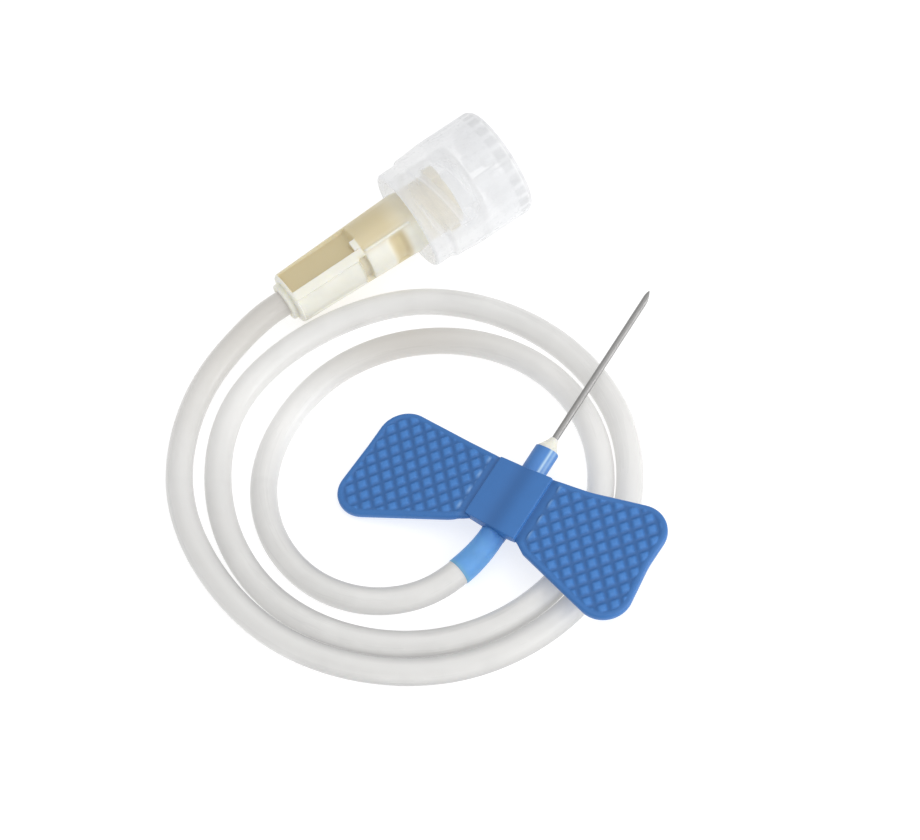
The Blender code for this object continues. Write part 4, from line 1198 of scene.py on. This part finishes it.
def pebble_field(x, y, wings, seed):
    """Height from 0 in a groove to about 1 on a pebble.

    Pebbles are rounded squares, one in each cell of the lattice whose two coordinates are
    x / pitch_out + y / pitch_along and x / pitch_out - y / pitch_along. Each is domed a little
    and leans its own way, by the fraction of a large sine of its cell's numbers and the seed.
    """
    p, q = x / wings.pitch_out, y / wings.pitch_along
    cell = 1.0 / math.hypot(1.0 / wings.pitch_out, 1.0 / wings.pitch_along)
    a, b = p + q, p - q
    ia, ib = np.round(a), np.round(b)
    da, db = (a - ia) * cell, (b - ib) * cell
    half, corner = wings.pebble / 2, wings.pebble_corner
    qa, qb = np.abs(da) - (half - corner), np.abs(db) - (half - corner)
    beyond = np.hypot(np.maximum(qa, 0.0), np.maximum(qb, 0.0))
    distance = beyond + np.minimum(np.maximum(qa, qb), 0.0) - corner
    raised = fading(distance, -0.26 * MM, 0.15 * MM)
    lean_a = np.modf(np.abs(np.sin(ia * 12.9898 + ib * 78.233 + seed) * 43758.5453))[0] - 0.5
    lean_b = np.modf(np.abs(np.sin(ia * 39.3467 + ib * 11.135 + seed) * 24634.6345))[0] - 0.5
    dome = 1.0 - 0.22 * (da ** 2 + db ** 2) / half ** 2
    return raised * (dome + 0.22 * (lean_a * da + lean_b * db) / half), raised


class BUTTERFLY_OT_wings(bpy.types.Operator):
    """Make both wings: a grid filled in between an outline's four sides, raised by its height"""

    bl_idname = "butterfly.wings"
    bl_label = "Wings"

    def execute(self, context):
        wings = context.scene.set_wings
        finish = vinyl_finish("wing_vinyl", context.scene.set_finish)
        left, right = (np.array(WING_CORNERS) * MM for _ in range(2))
        left[2, 1] -= wings.left_trim
        left[3, 0] += wings.left_hollow
        right[4, 1] += wings.right_trim
        right[2, 1] += wings.right_swell
        right[5, 1] -= wings.right_swell
        self.make_wing("left_wing_skin", "left_wing", -1, left, 0.44 * MM, wings, finish)
        self.make_wing("right_wing_skin", "right_wing", 1, right, 0.52 * MM, wings, finish)
        return {"FINISHED"}

    def make_wing(self, name, node, side, corners, cut, wings, finish):
        """One wing with its root in the saddle, bent down at the fold by its droop."""
        outline = rounded_outline(corners, CORNER_STEPS)
        plan = self.plan(outline)
        xy = plan.reshape(-1, 2)
        middle = CORNER_STEPS // 2
        free = side_of(outline, middle, 6 * CORNER_STEPS + middle, np.linspace(0.0, 1.0, 260))
        depth = distance_to(xy, free)
        top, bottom, height, glint = self.levels(xy, depth, wings, 5.5 - 2.5 * side, cut)
        web = -wings.web_level * wings.plate
        out = side * (np.tile(xy[:, 0], 2) + wings.root_gap)
        up = np.concatenate([top, bottom]) - web
        c, s = math.cos(side * wings.droop), math.sin(side * wings.droop)
        points = np.column_stack([c * out + s * up + side * wings.fold_line, np.tile(xy[:, 1], 2),
                                  c * up - s * out + web])
        count = len(xy)
        index = np.arange(count).reshape(plan.shape[:2])
        faces = grid_quads(index, join_columns=False)
        border = np.concatenate([index[:-1, 0], index[-1, :-1], index[:0:-1, -1], index[0, :0:-1]])
        beside = np.roll(border, -1)
        wall = np.stack([border, beside, beside + count, border + count], 1)
        # The height tone carries the painted shade, and the streak tone the painted glints.
        tones = {"height": np.append(height, np.full(count, 0.8)),
                 "streak": np.append(glint, np.zeros(count))}
        piece = make_piece(name, set_frame(), (points, np.vstack([faces, faces + count, wall]).tolist()),
                           finish, body="", tones=tones, sharp=80.0)
        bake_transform(piece)
        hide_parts(node)

    @staticmethod
    def plan(outline):
        """A grid of points in the outline: its four sides blended, less what its corners count twice."""
        rear_root, front_root, front_tip, rear_tip = (
            corner * CORNER_STEPS + CORNER_STEPS // 2 for corner in (6, 0, 2, 4))
        u = graded(13.4 * MM, 0.045 * MM, 0.040 * MM, 0.085 * MM)
        v = graded(11.0 * MM, 0.040 * MM, 0.040 * MM, 0.078 * MM)
        ahead = side_of(outline, front_root, front_tip, u)
        outer = side_of(outline, front_tip, rear_tip, 1.0 - v[::-1])[::-1]
        behind = side_of(outline, rear_tip, rear_root, 1.0 - u[::-1])[::-1]
        root = side_of(outline, rear_root, front_root, v)
        u, v = u[:, None, None], v[None, :, None]
        return ((1 - v) * behind[:, None] + v * ahead[:, None] + (1 - u) * root + u * outer
                - (1 - u) * (1 - v) * behind[0] - (1 - u) * v * ahead[0]
                - u * (1 - v) * behind[-1] - u * v * ahead[-1])

    @staticmethod
    def levels(xy, depth, wings, seed, cut):
        """Top, bottom, tone and glint of the plate at points of its plan, given their depth in it. The
        tone is painted shade, darker in the grooves and along the hinge, and the glint is a painted
        highlight on the pebbles cut off by the hinge.
        """
        out, edge = xy[:, 0], wings.edge
        rounding = np.sqrt(np.maximum(edge ** 2 - np.maximum(edge - depth, 0.0) ** 2, 0.0)) - edge
        border = wings.rim_level * fading(depth, wings.rim, wings.rim + wings.rim_slope)
        height, raised = pebble_field(out, xy[:, 1], wings, seed)
        inside = (smooth_step(depth, wings.rim - 0.10 * MM, wings.rim + 0.25 * MM)
                  * smooth_step(out, cut, cut + 0.08 * MM))
        level = -wings.recess * (1.0 - np.maximum(border, height * inside))
        web = -wings.web_level * wings.plate
        part = smooth_step(out, -0.30 * MM, 0.44 * MM)
        thick = smooth_step(out, 0.0, 0.65 * MM)
        rounding *= 0.35 + 0.65 * part
        top = -wings.hinge_level * (1.0 - part) + level * part + rounding
        bottom = (web - wings.web / 2) * (1.0 - thick) - wings.plate * thick - rounding
        # Painted shade along the hinge groove, and painted glints on the cut pebbles beside it.
        hinge = smooth_step(out, -0.35 * MM, 0.30 * MM) * fading(out, 0.30 * MM, 0.60 * MM)
        tone = np.maximum(np.maximum(border * 0.85, raised * inside) * part, 0.30 * hinge)
        glint = 0.32 * raised * inside * fading(out, cut + 0.05 * MM, cut + 0.40 * MM)
        return top, bottom, tone, glint


SETTINGS = {
    "set_place": PlaceSettings, "set_needle": NeedleSettings, "set_wings": WingSettings,
    "set_tube": TubeSettings, "set_connector": ConnectorSettings, "set_cap": CapSettings,
    "set_finish": FinishSettings,
}
OPERATORS = (
    BUTTERFLY_OT_stage, BUTTERFLY_OT_connector, BUTTERFLY_OT_cap, BUTTERFLY_OT_tubing,
    BUTTERFLY_OT_sleeve, BUTTERFLY_OT_needle, BUTTERFLY_OT_barrel, BUTTERFLY_OT_saddle,
    BUTTERFLY_OT_wings,
)


class BUTTERFLY_PT_panel(bpy.types.Panel):
    """The pieces of the butterfly needle, in the 3D view's sidebar"""

    bl_idname = "BUTTERFLY_PT_panel"
    bl_label = "Butterfly Needle"
    bl_space_type = "VIEW_3D"
    bl_region_type = "UI"
    bl_category = "Butterfly Needle"

    def draw(self, context):
        column = self.layout.column(align=True)
        for made in OPERATORS:
            column.operator(made.bl_idname)
        for name, group in SETTINGS.items():
            box = self.layout.box()
            box.label(text=group.__doc__.rstrip("."))
            for key in group.__annotations__:
                box.prop(getattr(context.scene, name), key)


CLASSES = (*SETTINGS.values(), *OPERATORS, BUTTERFLY_PT_panel)


def register():
    """Register the classes, and hang the settings on the scene."""
    for part in CLASSES:
        bpy.utils.register_class(part)
    for name, group in SETTINGS.items():
        setattr(bpy.types.Scene, name, PointerProperty(type=group))


def unregister():
    """Take the settings and the classes away again."""
    for name in SETTINGS:
        delattr(bpy.types.Scene, name)
    for part in reversed(CLASSES):
        bpy.utils.unregister_class(part)


def main():
    """Make every piece in order, then find the bounds of the finished model."""
    register()
    for made in OPERATORS:
        getattr(bpy.ops.butterfly, made.bl_idname.split(".")[1])()
    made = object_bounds()


if __name__ == "__main__":
    main()
